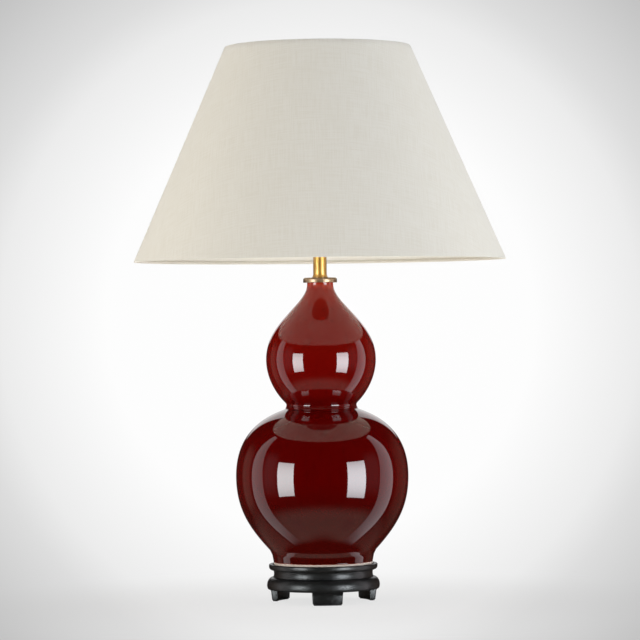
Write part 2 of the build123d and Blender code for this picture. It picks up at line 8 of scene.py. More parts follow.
import json
import logging
import math
from collections.abc import Callable, Iterable, Mapping, Sequence
from dataclasses import dataclass, field
from enum import Enum

import bmesh
import bpy
from mathutils import Matrix, Vector

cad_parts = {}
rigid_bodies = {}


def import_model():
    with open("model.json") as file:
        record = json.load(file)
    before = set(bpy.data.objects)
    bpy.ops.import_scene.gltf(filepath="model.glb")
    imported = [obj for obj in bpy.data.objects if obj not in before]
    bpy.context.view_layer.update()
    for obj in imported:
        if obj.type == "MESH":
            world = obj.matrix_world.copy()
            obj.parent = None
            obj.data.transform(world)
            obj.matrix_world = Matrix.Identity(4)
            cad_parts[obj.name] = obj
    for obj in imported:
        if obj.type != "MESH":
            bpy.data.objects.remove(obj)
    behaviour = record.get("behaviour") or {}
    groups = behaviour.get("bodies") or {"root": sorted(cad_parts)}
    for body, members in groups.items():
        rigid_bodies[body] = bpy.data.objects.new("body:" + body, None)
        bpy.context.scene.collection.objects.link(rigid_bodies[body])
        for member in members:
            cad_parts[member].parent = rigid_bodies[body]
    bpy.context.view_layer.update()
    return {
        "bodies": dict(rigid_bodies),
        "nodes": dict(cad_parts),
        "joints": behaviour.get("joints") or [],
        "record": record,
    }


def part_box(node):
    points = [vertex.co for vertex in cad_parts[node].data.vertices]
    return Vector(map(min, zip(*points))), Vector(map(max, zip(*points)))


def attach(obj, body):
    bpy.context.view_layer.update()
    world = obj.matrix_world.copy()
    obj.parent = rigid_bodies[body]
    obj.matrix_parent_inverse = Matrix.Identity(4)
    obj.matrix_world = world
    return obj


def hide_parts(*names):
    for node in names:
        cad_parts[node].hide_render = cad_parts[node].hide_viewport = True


log = logging.getLogger("lamp")

MM = 0.001
MERGE = 2e-6
SMOOTH = {"interpolation_type": "SMOOTHSTEP"}
Point = tuple[float, float]
Points = list[Point]
Stops = tuple[tuple[float, str], ...]
Tree = bpy.types.NodeTree
Node = bpy.types.Node
Socket = bpy.types.NodeSocket


# ------------------------------------------------------------------ small helpers

def hex_colour(code: str) -> tuple[float, float, float, float]:
    """Turn an sRGB hex colour into a linear one.

    Args:
        code: six hex digits, such as "C8A050".

    Returns:
        Linear red, green, blue and an alpha of 1.
    """
    parts = [int(code[i:i + 2], 16) / 255 for i in (0, 2, 4)]
    linear = [p / 12.92 if p <= 0.04045 else ((p + 0.055) / 1.055) ** 2.4 for p in parts]
    return (*linear, 1.0)


def add(tree: Tree, kind: str, inputs: dict | Sequence = (), stops: Stops = (),
        **settings: object) -> Node:
    """Add a node with its settings, and set or link its inputs.

    Args:
        tree: the shader or geometry tree.
        kind: the node's type name.
        inputs: what each named input gets, or the first ones in their order: a number, a hex
            colour, a socket, or a node whose first live output feeds it.
        stops: the (position, hex colour) pairs of a colour ramp.
        settings: attributes of the node itself.

    Returns:
        The new node.
    """
    node = tree.nodes.new(kind)
    for name, value in settings.items():
        setattr(node, name, value)
    for name, value in inputs.items() if isinstance(inputs, dict) else enumerate(inputs):
        live = (socket for socket in node.inputs if socket.enabled and socket.name == name)
        socket = node.inputs[name] if isinstance(name, int) else next(live)
        if isinstance(value, Node):
            value = next(output for output in value.outputs if output.enabled)
        if isinstance(value, Socket):
            tree.links.new(value, socket)
        else:
            socket.default_value = hex_colour(value) if isinstance(value, str) else value
    if stops:
        elements = node.color_ramp.elements
        while len(elements) < len(stops):
            elements.new(1.0)
        for element, (position, code) in zip(elements, stops):
            element.position = position
            element.color = hex_colour(code)
    return node


def material_of(title: str, dress: Callable[[Tree], Node]) -> bpy.types.Material:
    """Make a material.

    Args:
        title: its name.
        dress: adds its shader to a tree.

    Returns:
        The material.
    """
    made = bpy.data.materials.new(title)
    made.use_nodes = True
    made.node_tree.nodes.clear()
    add(made.node_tree, "ShaderNodeOutputMaterial", [dress(made.node_tree)])
    return made


def put(name: str, data: bpy.types.ID) -> bpy.types.Object:
    """Link a new object with its data to the scene, at the origin.

    Args:
        name: the object's name.
        data: its mesh, camera or light.

    Returns:
        The object.
    """
    made = bpy.data.objects.new(name, data)
    bpy.context.scene.collection.objects.link(made)
    return made


def mesh_of(work: bmesh.types.BMesh, name: str) -> bpy.types.Mesh:
    """Keep an edited shape as a mesh, and free its workspace.

    Args:
        work: the edited shape.
        name: the mesh's name.

    Returns:
        The mesh.
    """
    mesh = bpy.data.meshes.new(name)
    work.to_mesh(mesh)
    work.free()
    return mesh


# ------------------------------------------------------------------ outlines

def bezier(start: Point, first: Point, second: Point, end: Point, steps: int) -> Points:
    """Sample a cubic curve from its start to its end.

    Args:
        start: where the curve starts.
        first: the handle after its start.
        second: the handle before its end.
        end: where it ends.
        steps: how many chords draw it.

    Returns:
        The curve's points, both ends among them.
    """
    points = []
    for step in range(steps + 1):
        t = step / steps
        weights = ((1 - t) ** 3, 3 * (1 - t) ** 2 * t, 3 * (1 - t) * t * t, t ** 3)
        points.append(tuple(sum(w * p[axis] for w, p in zip(weights, (start, first, second, end)))
                            for axis in (0, 1)))
    return points


def rounded(*corners: tuple, steps: int = 5) -> Points:
    """Round the corners of an outline.

    Args:
        corners: (radius, height) or (radius, height, rounding) corners, in order.
        steps: how many chords draw each rounding.

    Returns:
        The outline's points, with an arc at each rounded corner.
    """
    points: Points = []
    for index, corner in enumerate(corners):
        here = Vector(corner[:2])
        if len(corner) == 2 or index in (0, len(corners) - 1):
            points.append(tuple(here))
            continue
        before = (Vector(corners[index - 1][:2]) - here).normalized()
        after = (Vector(corners[index + 1][:2]) - here).normalized()
        half = before.angle(after) / 2
        reach = corner[2] / math.tan(half)
        centre = here + (before + after).normalized() * corner[2] / math.sin(half)
        first = here + before * reach - centre
        last = here + after * reach - centre
        turn = first.angle_signed(last)
        for step in range(steps + 1):
            points.append(tuple(centre + Matrix.Rotation(-turn * step / steps, 2) @ first))
    return points


def follow(points: Points, distance: float) -> Points:
    """Offset an open outline to its left by a distance.

    Args:
        points: the outline.
        distance: how far it moves, in the outline's units.

    Returns:
        The moved outline.
    """
    moved = []
    for index, point in enumerate(points):
        before = Vector(points[max(index - 1, 0)])
        after = Vector(points[min(index + 1, len(points) - 1)])
        along = (after - before).normalized()
        moved.append((point[0] - along.y * distance, point[1] + along.x * distance))
    return moved


def soften(points: Points, corner: Point, reach: float, passes: int = 12) -> Points:
    """Blend the points within a reach of a corner into a fillet.

    Args:
        points: the outline.
        corner: the corner to blend.
        reach: how far from the corner the blend goes.
        passes: how often it is smoothed.

    Returns:
        The outline with its corner blended.
    """
    points = list(points)
    near = [i for i, p in enumerate(points[1:-1], 1) if math.dist(p, corner) < reach]
    for _ in range(passes):
        for i in near:
            points[i] = tuple((points[i - 1][a] + 2 * points[i][a] + points[i + 1][a]) / 4
                              for a in (0, 1))
    return points


def divided(points: Points, longest: float) -> Points:
    """Divide an outline's long runs, so that no chord is longer than a length.

    Args:
        points: the outline.
        longest: the longest chord that stays whole.

    Returns:
        The outline with more points.
    """
    result = [points[0]]
    for start, end in zip(points, points[1:]):
        parts = max(1, math.ceil(math.dist(start, end) / longest))
        for part in range(1, parts + 1):
            result.append(tuple(start[a] + (end[a] - start[a]) * part / parts for a in (0, 1)))
    return result


# ------------------------------------------------------------------ geometry trees

def turned(tree: Tree, given: Mapping) -> Node:
    """Sweep an outline round a circle, so that it turns about the lamp's axis.

    Args:
        tree: the geometry tree.
        given: its named inputs.

    Returns:
        The node that gives the shape.
    """
    outline = add(tree, "GeometryNodeMeshToCurve", {"Mesh": given["Geometry"]})
    path = add(tree, "GeometryNodeCurvePrimitiveCircle", {
        "Resolution": given["Steps round"], "Radius": given["Path radius"]})
    swept = add(tree, "GeometryNodeCurveToMesh", {"Curve": path, "Profile Curve": outline})
    return add(tree, "GeometryNodeMergeByDistance", {"Geometry": swept, "Distance": MERGE})


def wound(tree: Tree, given: Mapping) -> Node:
    """Wind a ridge along a helix about the lamp's axis.

    Args:
        tree: the geometry tree.
        given: its named inputs.

    Returns:
        The node that gives the shape.
    """
    helix = add(tree, "GeometryNodeCurveSpiral", {
        "Resolution": given["Steps a turn"], "Rotations": given["Turns"],
        "Start Radius": given["Root radius"], "End Radius": given["Root radius"],
        "Height": given["Length"]})
    ridge = add(tree, "GeometryNodeCurvePrimitiveCircle", {
        "Resolution": given["Ridge sides"], "Radius": given["Ridge"]})
    thread = add(tree, "GeometryNodeCurveToMesh", {
        "Curve": helix, "Profile Curve": ridge, "Fill Caps": True})
    lift = add(tree, "ShaderNodeCombineXYZ", {"Z": given["Low"]})
    return add(tree, "GeometryNodeTransform", {"Geometry": thread, "Translation": lift})


def ringed(tree: Tree, given: Mapping) -> Node:
    """Repeat a small shape at equal steps on a circle, each copy facing outwards.

    Args:
        tree: the geometry tree.
        given: its named inputs.

    Returns:
        The node that gives the shape.
    """
    circle = add(tree, "GeometryNodeMeshCircle", {
        "Vertices": given["Count"], "Radius": given["Radius"]})
    outwards = add(tree, "FunctionNodeAlignRotationToVector", {
        "Vector": add(tree, "GeometryNodeInputPosition")}, axis="X", pivot_axis="Z")
    copies = add(tree, "GeometryNodeInstanceOnPoints", {
        "Points": circle, "Instance": given["Geometry"], "Rotation": outwards})
    lift = add(tree, "ShaderNodeCombineXYZ", {"Z": given["Level"]})
    return add(tree, "GeometryNodeTransform", {"Geometry": copies, "Translation": lift})


class Maker(Enum):
    """The geometry trees that make what turns, winds or repeats: title, shape and sizes."""

    LATHE = ("lathe", turned, {"Path radius": "Float", "Steps round": "Int"})
    THREAD = ("thread", wound, {
        "Root radius": "Float", "Low": "Float", "Length": "Float", "Turns": "Float",
        "Ridge": "Float", "Ridge sides": "Int", "Steps a turn": "Int"})
    RING = ("ring of copies", ringed, {"Count": "Int", "Radius": "Float", "Level": "Float"})

    def tree(self) -> Tree:
        """Build the tree at its first use, around its shape, which it makes real and finishes.

        Returns:
            The tree.
        """
        title, shape, sizes = self.value
        if title in bpy.data.node_groups:
            return bpy.data.node_groups[title]
        tree = bpy.data.node_groups.new(title, "GeometryNodeTree")
        for name, kind in {"Geometry": "Geometry", **sizes, "Finish": "Material"}.items():
            tree.interface.new_socket(name, in_out="INPUT", socket_type=f"NodeSocket{kind}")
        tree.interface.new_socket("Geometry", in_out="OUTPUT", socket_type="NodeSocketGeometry")
        given = add(tree, "NodeGroupInput").outputs
        real = add(tree, "GeometryNodeRealizeInstances", {"Geometry": shape(tree, given)})
        finished = add(tree, "GeometryNodeSetMaterial", {
            "Geometry": real, "Material": given["Finish"]})
        add(tree, "NodeGroupOutput", [finished])
        return tree

    def run(self, name: str, base: bpy.types.Mesh, sizes: dict) -> bpy.types.Object:
        """Run the tree on a base mesh and keep its result as a plain mesh.

        Args:
            name: the new piece's name.
            base: the mesh that the tree starts from.
            sizes: the tree's named inputs.

        Returns:
            The piece, at the origin, with its place in its mesh.
        """
        piece = put(name, base)
        tree = self.tree()
        modifier = piece.modifiers.new(name, "NODES")
        modifier.node_group = tree
        for item in tree.interface.items_tree:
            if item.in_out == "INPUT" and item.name in sizes:
                modifier[item.identifier] = sizes[item.name]
        shown = piece.evaluated_get(bpy.context.evaluated_depsgraph_get())
        result = bpy.data.meshes.new_from_object(shown)
        piece.modifiers.remove(modifier)
        piece.data = result
        result.name = name
        return piece


def tidy_normals(mesh: bpy.types.Mesh, sharp: float = 32.0) -> bpy.types.Mesh:
    """Merge a mesh's doubles, turn its faces outwards and smooth it below an angle.

    Args:
        mesh: the mesh to work on.
        sharp: edges that turn by more degrees than this stay crisp.

    Returns:
        The same mesh.
    """
    work = bmesh.new()
    work.from_mesh(mesh)
    bmesh.ops.remove_doubles(work, verts=work.verts, dist=MERGE)
    bmesh.ops.recalc_face_normals(work, faces=work.faces)
    work.to_mesh(mesh)
    work.free()
    mesh.shade_smooth()
    mesh.set_sharp_from_angle(angle=math.radians(sharp))
    return mesh


def block(size: Sequence[float], bevel: float) -> bpy.types.Mesh:
    """Make a small block about the origin, with its edges bevelled, in millimetres.

    Args:
        size: its length along each axis.
        bevel: the width of its bevels.

    Returns:
        The block's mesh.
    """
    work = bmesh.new()
    bmesh.ops.create_cube(work, size=1.0)
    bmesh.ops.scale(work, vec=Vector(size) * MM, verts=work.verts)
    bmesh.ops.bevel(work, geom=work.edges[:], offset=bevel * MM, segments=1, affect="EDGES")
    return mesh_of(work, "block")


# ------------------------------------------------------------------ finishes

@dataclass(frozen=True)
class Finish:
    """A material, named for what the real one is; a subclass dresses its shader.

    Sizes of patterns are in millimetres. A pair of levels says where in a noise a tone starts
    to show and where it is full.
    """

    slot: str
    title: str

    def material(self) -> bpy.types.Material:
        """Return the material, built at its first use."""
        return bpy.data.materials.get(self.title) or material_of(self.title, self.dress)

    def dress(self, tree: Tree) -> Node:
        """Return the shader with its patterns."""
        raise NotImplementedError

    @staticmethod
    def grain(tree: Tree, size: float, detail: float, stretch: Sequence[float] = (1, 1, 1),
              spot: Socket | None = None) -> Node:
        """Add a grain of a real size.

        Args:
            tree: the shader tree.
            size: how wide its features are, in millimetres.
            detail: how many finer layers it has.
            stretch: under 1 draws it out along that axis.
            spot: where it is read, or Object coordinates if not given.

        Returns:
            The noise.
        """
        spot = spot or add(tree, "ShaderNodeTexCoord").outputs["Object"]
        drawn = add(tree, "ShaderNodeMapping", {"Vector": spot, "Scale": stretch})
        return add(tree, "ShaderNodeTexNoise", {
            "Vector": drawn, "Scale": 1 / (size * MM), "Detail": detail})

    @staticmethod
    def blend(tree: Tree, pattern: Socket | Node, levels: Point, tones: Sequence,
              full: float = 1.0) -> Node:
        """Pass from one tone to another where a pattern rises between two levels.

        Args:
            tree: the shader tree.
            pattern: what rises.
            levels: where the second tone starts and where it is full.
            tones: the first and the second, as hex colours or nodes.
            full: the second's share where it is full.

        Returns:
            The blended tone.
        """
        share = add(tree, "ShaderNodeMapRange", {
            "Value": pattern, "From Min": levels[0], "From Max": levels[1], "To Max": full},
            **SMOOTH)
        return add(tree, "ShaderNodeMix", {"Factor": share, "A": tones[0], "B": tones[1]},
                   data_type="RGBA")

    @staticmethod
    def surface(tree: Tree, relief: Node, depth: float, inputs: dict) -> Node:
        """Add the shader over a relief.

        Args:
            tree: the shader tree.
            relief: the pattern that raises it.
            depth: how far, in millimetres.
            inputs: the shader's other inputs.

        Returns:
            The shader.
        """
        raised = add(tree, "ShaderNodeBump", {"Height": relief, "Distance": depth * MM})
        return add(tree, "ShaderNodeBsdfPrincipled", {**inputs, "Normal": raised})


@dataclass(frozen=True)
class OxbloodGlaze(Finish):
    """Copper-red glaze fired on stoneware: a deep red under clear glass.

    It runs down in the kiln, so it is thin and bright at the lip, with faint vertical runs,
    and the bare clay shows under its lower edge, which waves with the runs. It grows darker
    towards the foot: partly the thick glaze there, partly painted shade on the lower bulb.
    """

    foot: float = 60.2
    lip: float = 481.0
    # Colour by height from foot to lip; the dark low stops are partly painted shade on the lower
    # bulb.
    stops: Stops = ((0.0, "380402"), (0.16, "320302"), (0.3, "4C0101"), (0.55, "580302"),
                    (0.72, "680603"), (0.9, "740F06"), (0.975, "861C0E"), (0.99, "B03824"))
    run: float = 9.0
    drawn: float = 0.12
    run_levels: Point = (0.52, 0.75)
    run_tone: tuple[str, float] = ("360202", 0.28)
    drift: float = 0.05
    mottle: float = 3.2
    mottle_levels: Point = (0.56, 0.78)
    mottle_tone: tuple[str, float] = ("8C1A10", 0.08)
    wave: float = 1.4
    fade: float = 0.25
    rim: float = 1.4
    rim_tone: tuple[str, float] = ("9A4030", 0.7)
    clay: str = "CFC3BA"
    rough: Point = (0.75, 0.035)
    ior: float = 1.52
    peel: Point = (18.0, 0.02)

    def dress(self, tree: Tree) -> Node:
        """Colour by height, with runs and mottling, over a pale clay foot.

        Args:
            tree: the shader tree.

        Returns:
            The shader.
        """
        spot = add(tree, "ShaderNodeTexCoord").outputs["Object"]
        height = add(tree, "ShaderNodeSeparateXYZ", [spot]).outputs["Z"]
        runs = self.grain(tree, self.run, 4.0, (1, 1, self.drawn))
        mottle = self.grain(tree, self.mottle, 5.0)
        share = add(tree, "ShaderNodeMapRange", {
            "Value": height, "From Min": self.foot * MM, "From Max": self.lip * MM,
            "To Min": -self.drift / 2, "To Max": 1 - self.drift / 2})
        share = add(tree, "ShaderNodeMath", (runs, self.drift, share), operation="MULTIPLY_ADD")
        body = add(tree, "ShaderNodeValToRGB", [share], self.stops)
        for noise, levels, (tone, full) in ((mottle, self.mottle_levels, self.mottle_tone),
                                            (runs, self.run_levels, self.run_tone)):
            body = self.blend(tree, noise, levels, (body, tone), full)
        edge = add(tree, "ShaderNodeMath", (runs, self.wave * MM, height),
                   operation="MULTIPLY_ADD")
        foot = (self.foot + self.wave / 2) * MM
        tone, full = self.rim_tone
        body = self.blend(tree, edge, (foot + self.rim * MM, foot), (body, tone), full)
        glazed = add(tree, "ShaderNodeMapRange", {
            "Value": edge, "From Min": foot - self.fade * MM, "From Max": foot + self.fade * MM},
            **SMOOTH)
        body = add(tree, "ShaderNodeMix", {"Factor": glazed, "A": self.clay, "B": body},
                   data_type="RGBA")
        dull = add(tree, "ShaderNodeMapRange", {
            "Value": glazed, "To Min": self.rough[0], "To Max": self.rough[1]})
        size, depth = self.peel
        return self.surface(tree, self.grain(tree, size, 0.0), depth, {
            "Base Color": body, "Roughness": dull, "IOR": self.ior})


@dataclass(frozen=True)
class EbonisedWood(Finish):
    """Turned hardwood, stained black and rubbed to a satin: open pores and soft highlights.

    Each grain is its size, its detail and how far it is drawn out along the board.
    """

    stain: str = "131415"
    worn: str = "222120"
    hole: str = "050505"
    pores: tuple[float, float, float] = (1.05, 2.0, 0.35 / 6.0)
    figure: tuple[float, float, float] = (2.4, 6.0, 0.12)
    rubbing: tuple[float, float, float] = (9.0, 4.0, 1.0)
    pits: tuple[float, float, float] = (2.2, 1.0, 1.0)
    pore_levels: Point = (0.56, 0.72)
    pit_levels: Point = (0.64, 0.72)
    worn_levels: Point = (0.4, 0.75)
    worn_share: float = 0.3
    hole_share: float = 0.8
    sheen: float = 0.24
    uneven: float = 0.12
    specular: float = 0.42
    relief: Point = (0.35, 0.09)

    def dress(self, tree: Tree) -> Node:
        """Dark stain with short pores along the board, and a satin film over them.

        Args:
            tree: the shader tree.

        Returns:
            The shader.
        """
        pores, figure, rubbing, pits = (
            self.grain(tree, size, detail, (along, 1, 1))
            for size, detail, along in (self.pores, self.figure, self.rubbing, self.pits))
        holes = add(tree, "ShaderNodeMath", [
            add(tree, "ShaderNodeMapRange", {
                "Value": noise, "From Min": levels[0], "From Max": levels[1]}, **SMOOTH)
            for noise, levels in ((pores, self.pore_levels), (pits, self.pit_levels))],
            operation="MAXIMUM")
        tone = self.blend(tree, figure, self.worn_levels, (self.stain, self.worn),
                          self.worn_share)
        share = add(tree, "ShaderNodeMath", (holes, self.hole_share), operation="MULTIPLY")
        tone = add(tree, "ShaderNodeMix", {"Factor": share, "A": tone, "B": self.hole},
                   data_type="RGBA")
        rough = self.sheen
        for noise, part in ((rubbing, self.uneven), (holes, self.worn_share)):
            rough = add(tree, "ShaderNodeMath", (noise, part, rough), operation="MULTIPLY_ADD")
        ridge, depth = self.relief
        raised = add(tree, "ShaderNodeMath", (figure, ridge), operation="MULTIPLY")
        relief = add(tree, "ShaderNodeMath", (raised, holes), operation="SUBTRACT")
        return self.surface(tree, relief, depth, {
            "Base Color": tone, "Roughness": rough, "Specular IOR Level": self.specular})


@dataclass(frozen=True)
class Metal(Finish):
    """A metal surface: polished, turned or plated, with its fine marks along or around it."""

    tint: str
    shade: str
    rough: float
    spread: float = 0.08
    marks: float = 0.5
    drawn: float = 0.02
    depth: float = 0.004
    cloud: float = 14.0
    cloud_levels: Point = (0.45, 0.8)
    cloud_share: float = 0.5
    lacquer: float = 0.0
    lacquer_rough: float = 0.12
    # pale: a paler tone painted below pale_below, the spun cap's painted reflection of the white
    # lining.
    pale: str = ""
    pale_below: float = 0.0
    pale_fade: float = 0.1

    def dress(self, tree: Tree) -> Node:
        """Tint with faint clouding, and turning marks one above the other.

        Args:
            tree: the shader tree.

        Returns:
            The shader.
        """
        clouds = self.grain(tree, self.cloud, 3.0)
        rings = self.grain(tree, self.marks, 2.0, (self.drawn, self.drawn, 1))
        tone = self.blend(tree, clouds, self.cloud_levels, (self.tint, self.shade),
                          self.cloud_share)
        # Paler below a level: painted reflection on the spun cap.
        if self.pale:
            spot = add(tree, "ShaderNodeTexCoord").outputs["Object"]
            height = add(tree, "ShaderNodeSeparateXYZ", [spot]).outputs["Z"]
            joint = [(self.pale_below + side * self.pale_fade) * MM for side in (-1, 1)]
            tone = self.blend(tree, height, joint, (self.pale, tone))
        uneven = add(tree, "ShaderNodeMath", (clouds, rings), operation="ADD")
        rough = add(tree, "ShaderNodeMath", (
            uneven, self.spread, self.rough - 0.75 * self.spread), operation="MULTIPLY_ADD")
        return self.surface(tree, rings, self.depth, {
            "Base Color": tone, "Roughness": rough, "Metallic": 1.0,
            "Coat Weight": self.lacquer, "Coat Roughness": self.lacquer_rough})


@dataclass(frozen=True)
class Plain(Finish):
    """A moulded, fired or coated surface: one tone that drifts, with a fine skin."""

    tone: str
    drift: str
    rough: float
    patch: float = 12.0
    patch_levels: Point = (0.35, 0.75)
    spread: float = 0.1
    skin: float = 0.6
    depth: float = 0.02
    ior: float = 1.5
    coat: float = 0.0
    milky: float = 0.0
    milk_reach: float = 2.0

    def dress(self, tree: Tree) -> Node:
        """Two near tones in soft patches, with a skin of fine bumps.

        Args:
            tree: the shader tree.

        Returns:
            The shader.
        """
        tone = self.blend(tree, self.grain(tree, self.patch, 3.0), self.patch_levels,
                          (self.tone, self.drift))
        skin = self.grain(tree, self.skin, 2.0)
        rough = add(tree, "ShaderNodeMath", (skin, self.spread, self.rough - self.spread / 2),
                    operation="MULTIPLY_ADD")
        return self.surface(tree, skin, self.depth, {
            "Base Color": tone, "Roughness": rough, "IOR": self.ior, "Coat Weight": self.coat,
            "Subsurface Weight": self.milky, "Subsurface Scale": self.milk_reach * MM,
            "Subsurface Radius": (1.0, 1.0, 1.0)})


@dataclass(frozen=True)
class Fibre(Finish):
    """Felt or cork: matt, with a grain that scatters light."""

    tone: str = "2A2A2C"
    fleck: str = "4A4A4C"
    fleck_levels: Point = (0.4, 0.7)
    size: float = 0.8
    depth: float = 0.25
    rough: float = 0.95
    sheen: float = 0.0

    def dress(self, tree: Tree) -> Node:
        """Flecks of two tones over a rough skin.

        Args:
            tree: the shader tree.

        Returns:
            The shader.
        """
        fibres = self.grain(tree, self.size, 5.0)
        tone = self.blend(tree, fibres, self.fleck_levels, (self.tone, self.fleck))
        return self.surface(tree, fibres, self.depth, {
            "Base Color": tone, "Roughness": self.rough, "Sheen Weight": self.sheen})


@dataclass(frozen=True)
class WovenCotton(Finish):
    """Fine plain-weave cotton laminated to film: matt, taut, with faint slubs.

    The real threads are 0.35 mm apart, too fine to show, so the weave is drawn at 0.9 mm. The
    UV map is the flat cut in metres, so the threads run straight across it.
    """

    tone: str = "EBE9E1"
    slub: str = "E6E3D9"
    thread: float = 0.9
    slub_size: float = 1.6
    slub_drawn: float = 0.04
    slub_levels: Point = (0.85, 1.25)
    cloud: float = 60.0
    cloud_levels: Point = (0.4, 0.7)
    cloud_share: float = 0.25
    waver: float = 1.2
    depth: float = 0.012
    rough: float = 0.85
    sheen: Point = (0.15, 0.5)

    def dress(self, tree: Tree) -> Node:
        """Crossed threads, with longer and paler slubs along each.

        Args:
            tree: the shader tree.

        Returns:
            The shader.
        """
        cut = add(tree, "ShaderNodeUVMap", uv_map="flat_cut").outputs["UV"]
        slubs = [self.grain(tree, self.slub_size, 3.0, stretch, cut)
                 for stretch in ((1, self.slub_drawn, 1), (self.slub_drawn, 1, 1))]
        threads = [add(tree, "ShaderNodeTexWave", {
            "Vector": cut, "Scale": 1 / (self.thread * MM) / math.tau * math.pi,
            "Distortion": self.waver, "Detail": 1.0, "Detail Scale": 0.3},
            bands_direction=axis).outputs["Fac"] for axis in "XY"]
        uneven = add(tree, "ShaderNodeMath", slubs, operation="ADD")
        weave = add(tree, "ShaderNodeMath", threads, operation="ADD")
        relief = add(tree, "ShaderNodeMath", (weave, 0.5, uneven), operation="MULTIPLY_ADD")
        tone = self.blend(tree, uneven, self.slub_levels, (self.tone, self.slub))
        clouds = self.grain(tree, self.cloud, 2.0, spot=cut)
        tone = self.blend(tree, clouds, self.cloud_levels, (tone, self.slub), self.cloud_share)
        sheen, softness = self.sheen
        return self.surface(tree, relief, self.depth, {
            "Base Color": tone, "Roughness": self.rough, "Sheen Weight": sheen,
            "Sheen Roughness": softness})


FINISHES: tuple[Finish, ...] = (
    # Stained black and rubbed: no figure to be seen, and a soft highlight along each turning.
    EbonisedWood("ebonised_wood", "ebonised_turned_hardwood"),
    # Pressed wool: dull and dark, with a furry edge that catches a little light.
    Fibre("felt", "pressed_wool_felt", sheen=0.4),
    # Sawn cork: warm tan with darker flecks, and quite matt.
    Fibre("cork", "sawn_cork", tone="9A7148", fleck="6B4628", size=1.6, depth=0.15),
    # Copper-red glaze: deep red under clear glass, brighter where it ran thin at the lip.
    OxbloodGlaze("oxblood_glaze", "copper_red_glaze"),
    # Polished and lacquered brass: warm gold with streaked highlights. The spun cap is painted
    # paler, a painted reflection of the white lining above it.
    Metal("polished_brass", "lacquered_polished_brass", tint="C2954C", shade="AE823E",
          rough=0.4, lacquer=0.5, pale="9A8064", pale_below=487.0),
    # Zinc on steel: a cool, slightly blue grey with soft clouds.
    Metal("zinc_steel", "zinc_plated_steel", tint="C9CBCB", shade="A9ADB2", rough=0.3),
    # Nickel on steel: a warm, bright grey, sharper than zinc.
    Metal("nickel_steel", "nickel_plated_steel", tint="CFC8BC", shade="B5AEA2", rough=0.2),
    # Moulded phenolic: black with a soft shine from the mould.
    Plain("black_plastic", "moulded_phenolic", tone="17171A", drift="1F1F22", rough=0.35),
    # Glazed porcelain: warm white under a wet-looking glaze.
    Plain("porcelain", "glazed_porcelain", tone="ECE9E1", drift="E2DED2", rough=0.15, coat=0.5),
    # Pressed brass with no lacquer: flatter and yellower than the polished pieces.
    Metal("shell_brass", "pressed_brass", tint="D2AE66", shade="A8843F", rough=0.34),
    # Plain cotton on film: a matt ivory with threads that just show.
    WovenCotton("ivory_fabric", "laminated_plain_cotton"),
    # The film inside the shade: white and matt, so that it throws the light back evenly.
    Plain("white_lining", "matt_white_film", tone="F7F5EE", drift="F4F1E8", rough=0.6,
          skin=0.8, depth=0.01),
    # Powder coat on wire: off-white with a fine orange-peel skin.
    Plain("white_wire", "white_powder_coat", tone="E6E4DE", drift="DCDAD2", rough=0.4,
          skin=0.5, depth=0.03),
    # Opal polycarbonate: milky white, with light that spreads a little inside it.
    Plain("opal_plastic", "opal_polycarbonate", tone="F2F1EC", drift="ECEAE4", rough=0.25,
          milky=0.5),
    # Moulded nylon: a plain satin white.
    Plain("white_plastic", "moulded_white_nylon", tone="E9E8E3", drift="E0DFD8", rough=0.35),
    # Black glass between the bulb's cap and its contact: hard and shiny.
    Plain("bulb_insulation", "black_glass_insulator", tone="0E0E10", drift="141417", rough=0.1),
    # Tinned solder: dull silver, blotched where it cooled.
    Metal("solder", "tinned_solder", tint="B9BABD", shade="8F9094", rough=0.38, cloud=3.0),
)

# The same cotton where it is folded over a wire and glued down: darker, as painted shade for the
# shade that falls on the tape inside each rim.
HEM_TAPE_PAINTED_SHADE = WovenCotton("ivory_fabric", "hem_tape_painted_shade", tone="DFDBD1", slub="DBD6CB")


# ------------------------------------------------------------------ bench

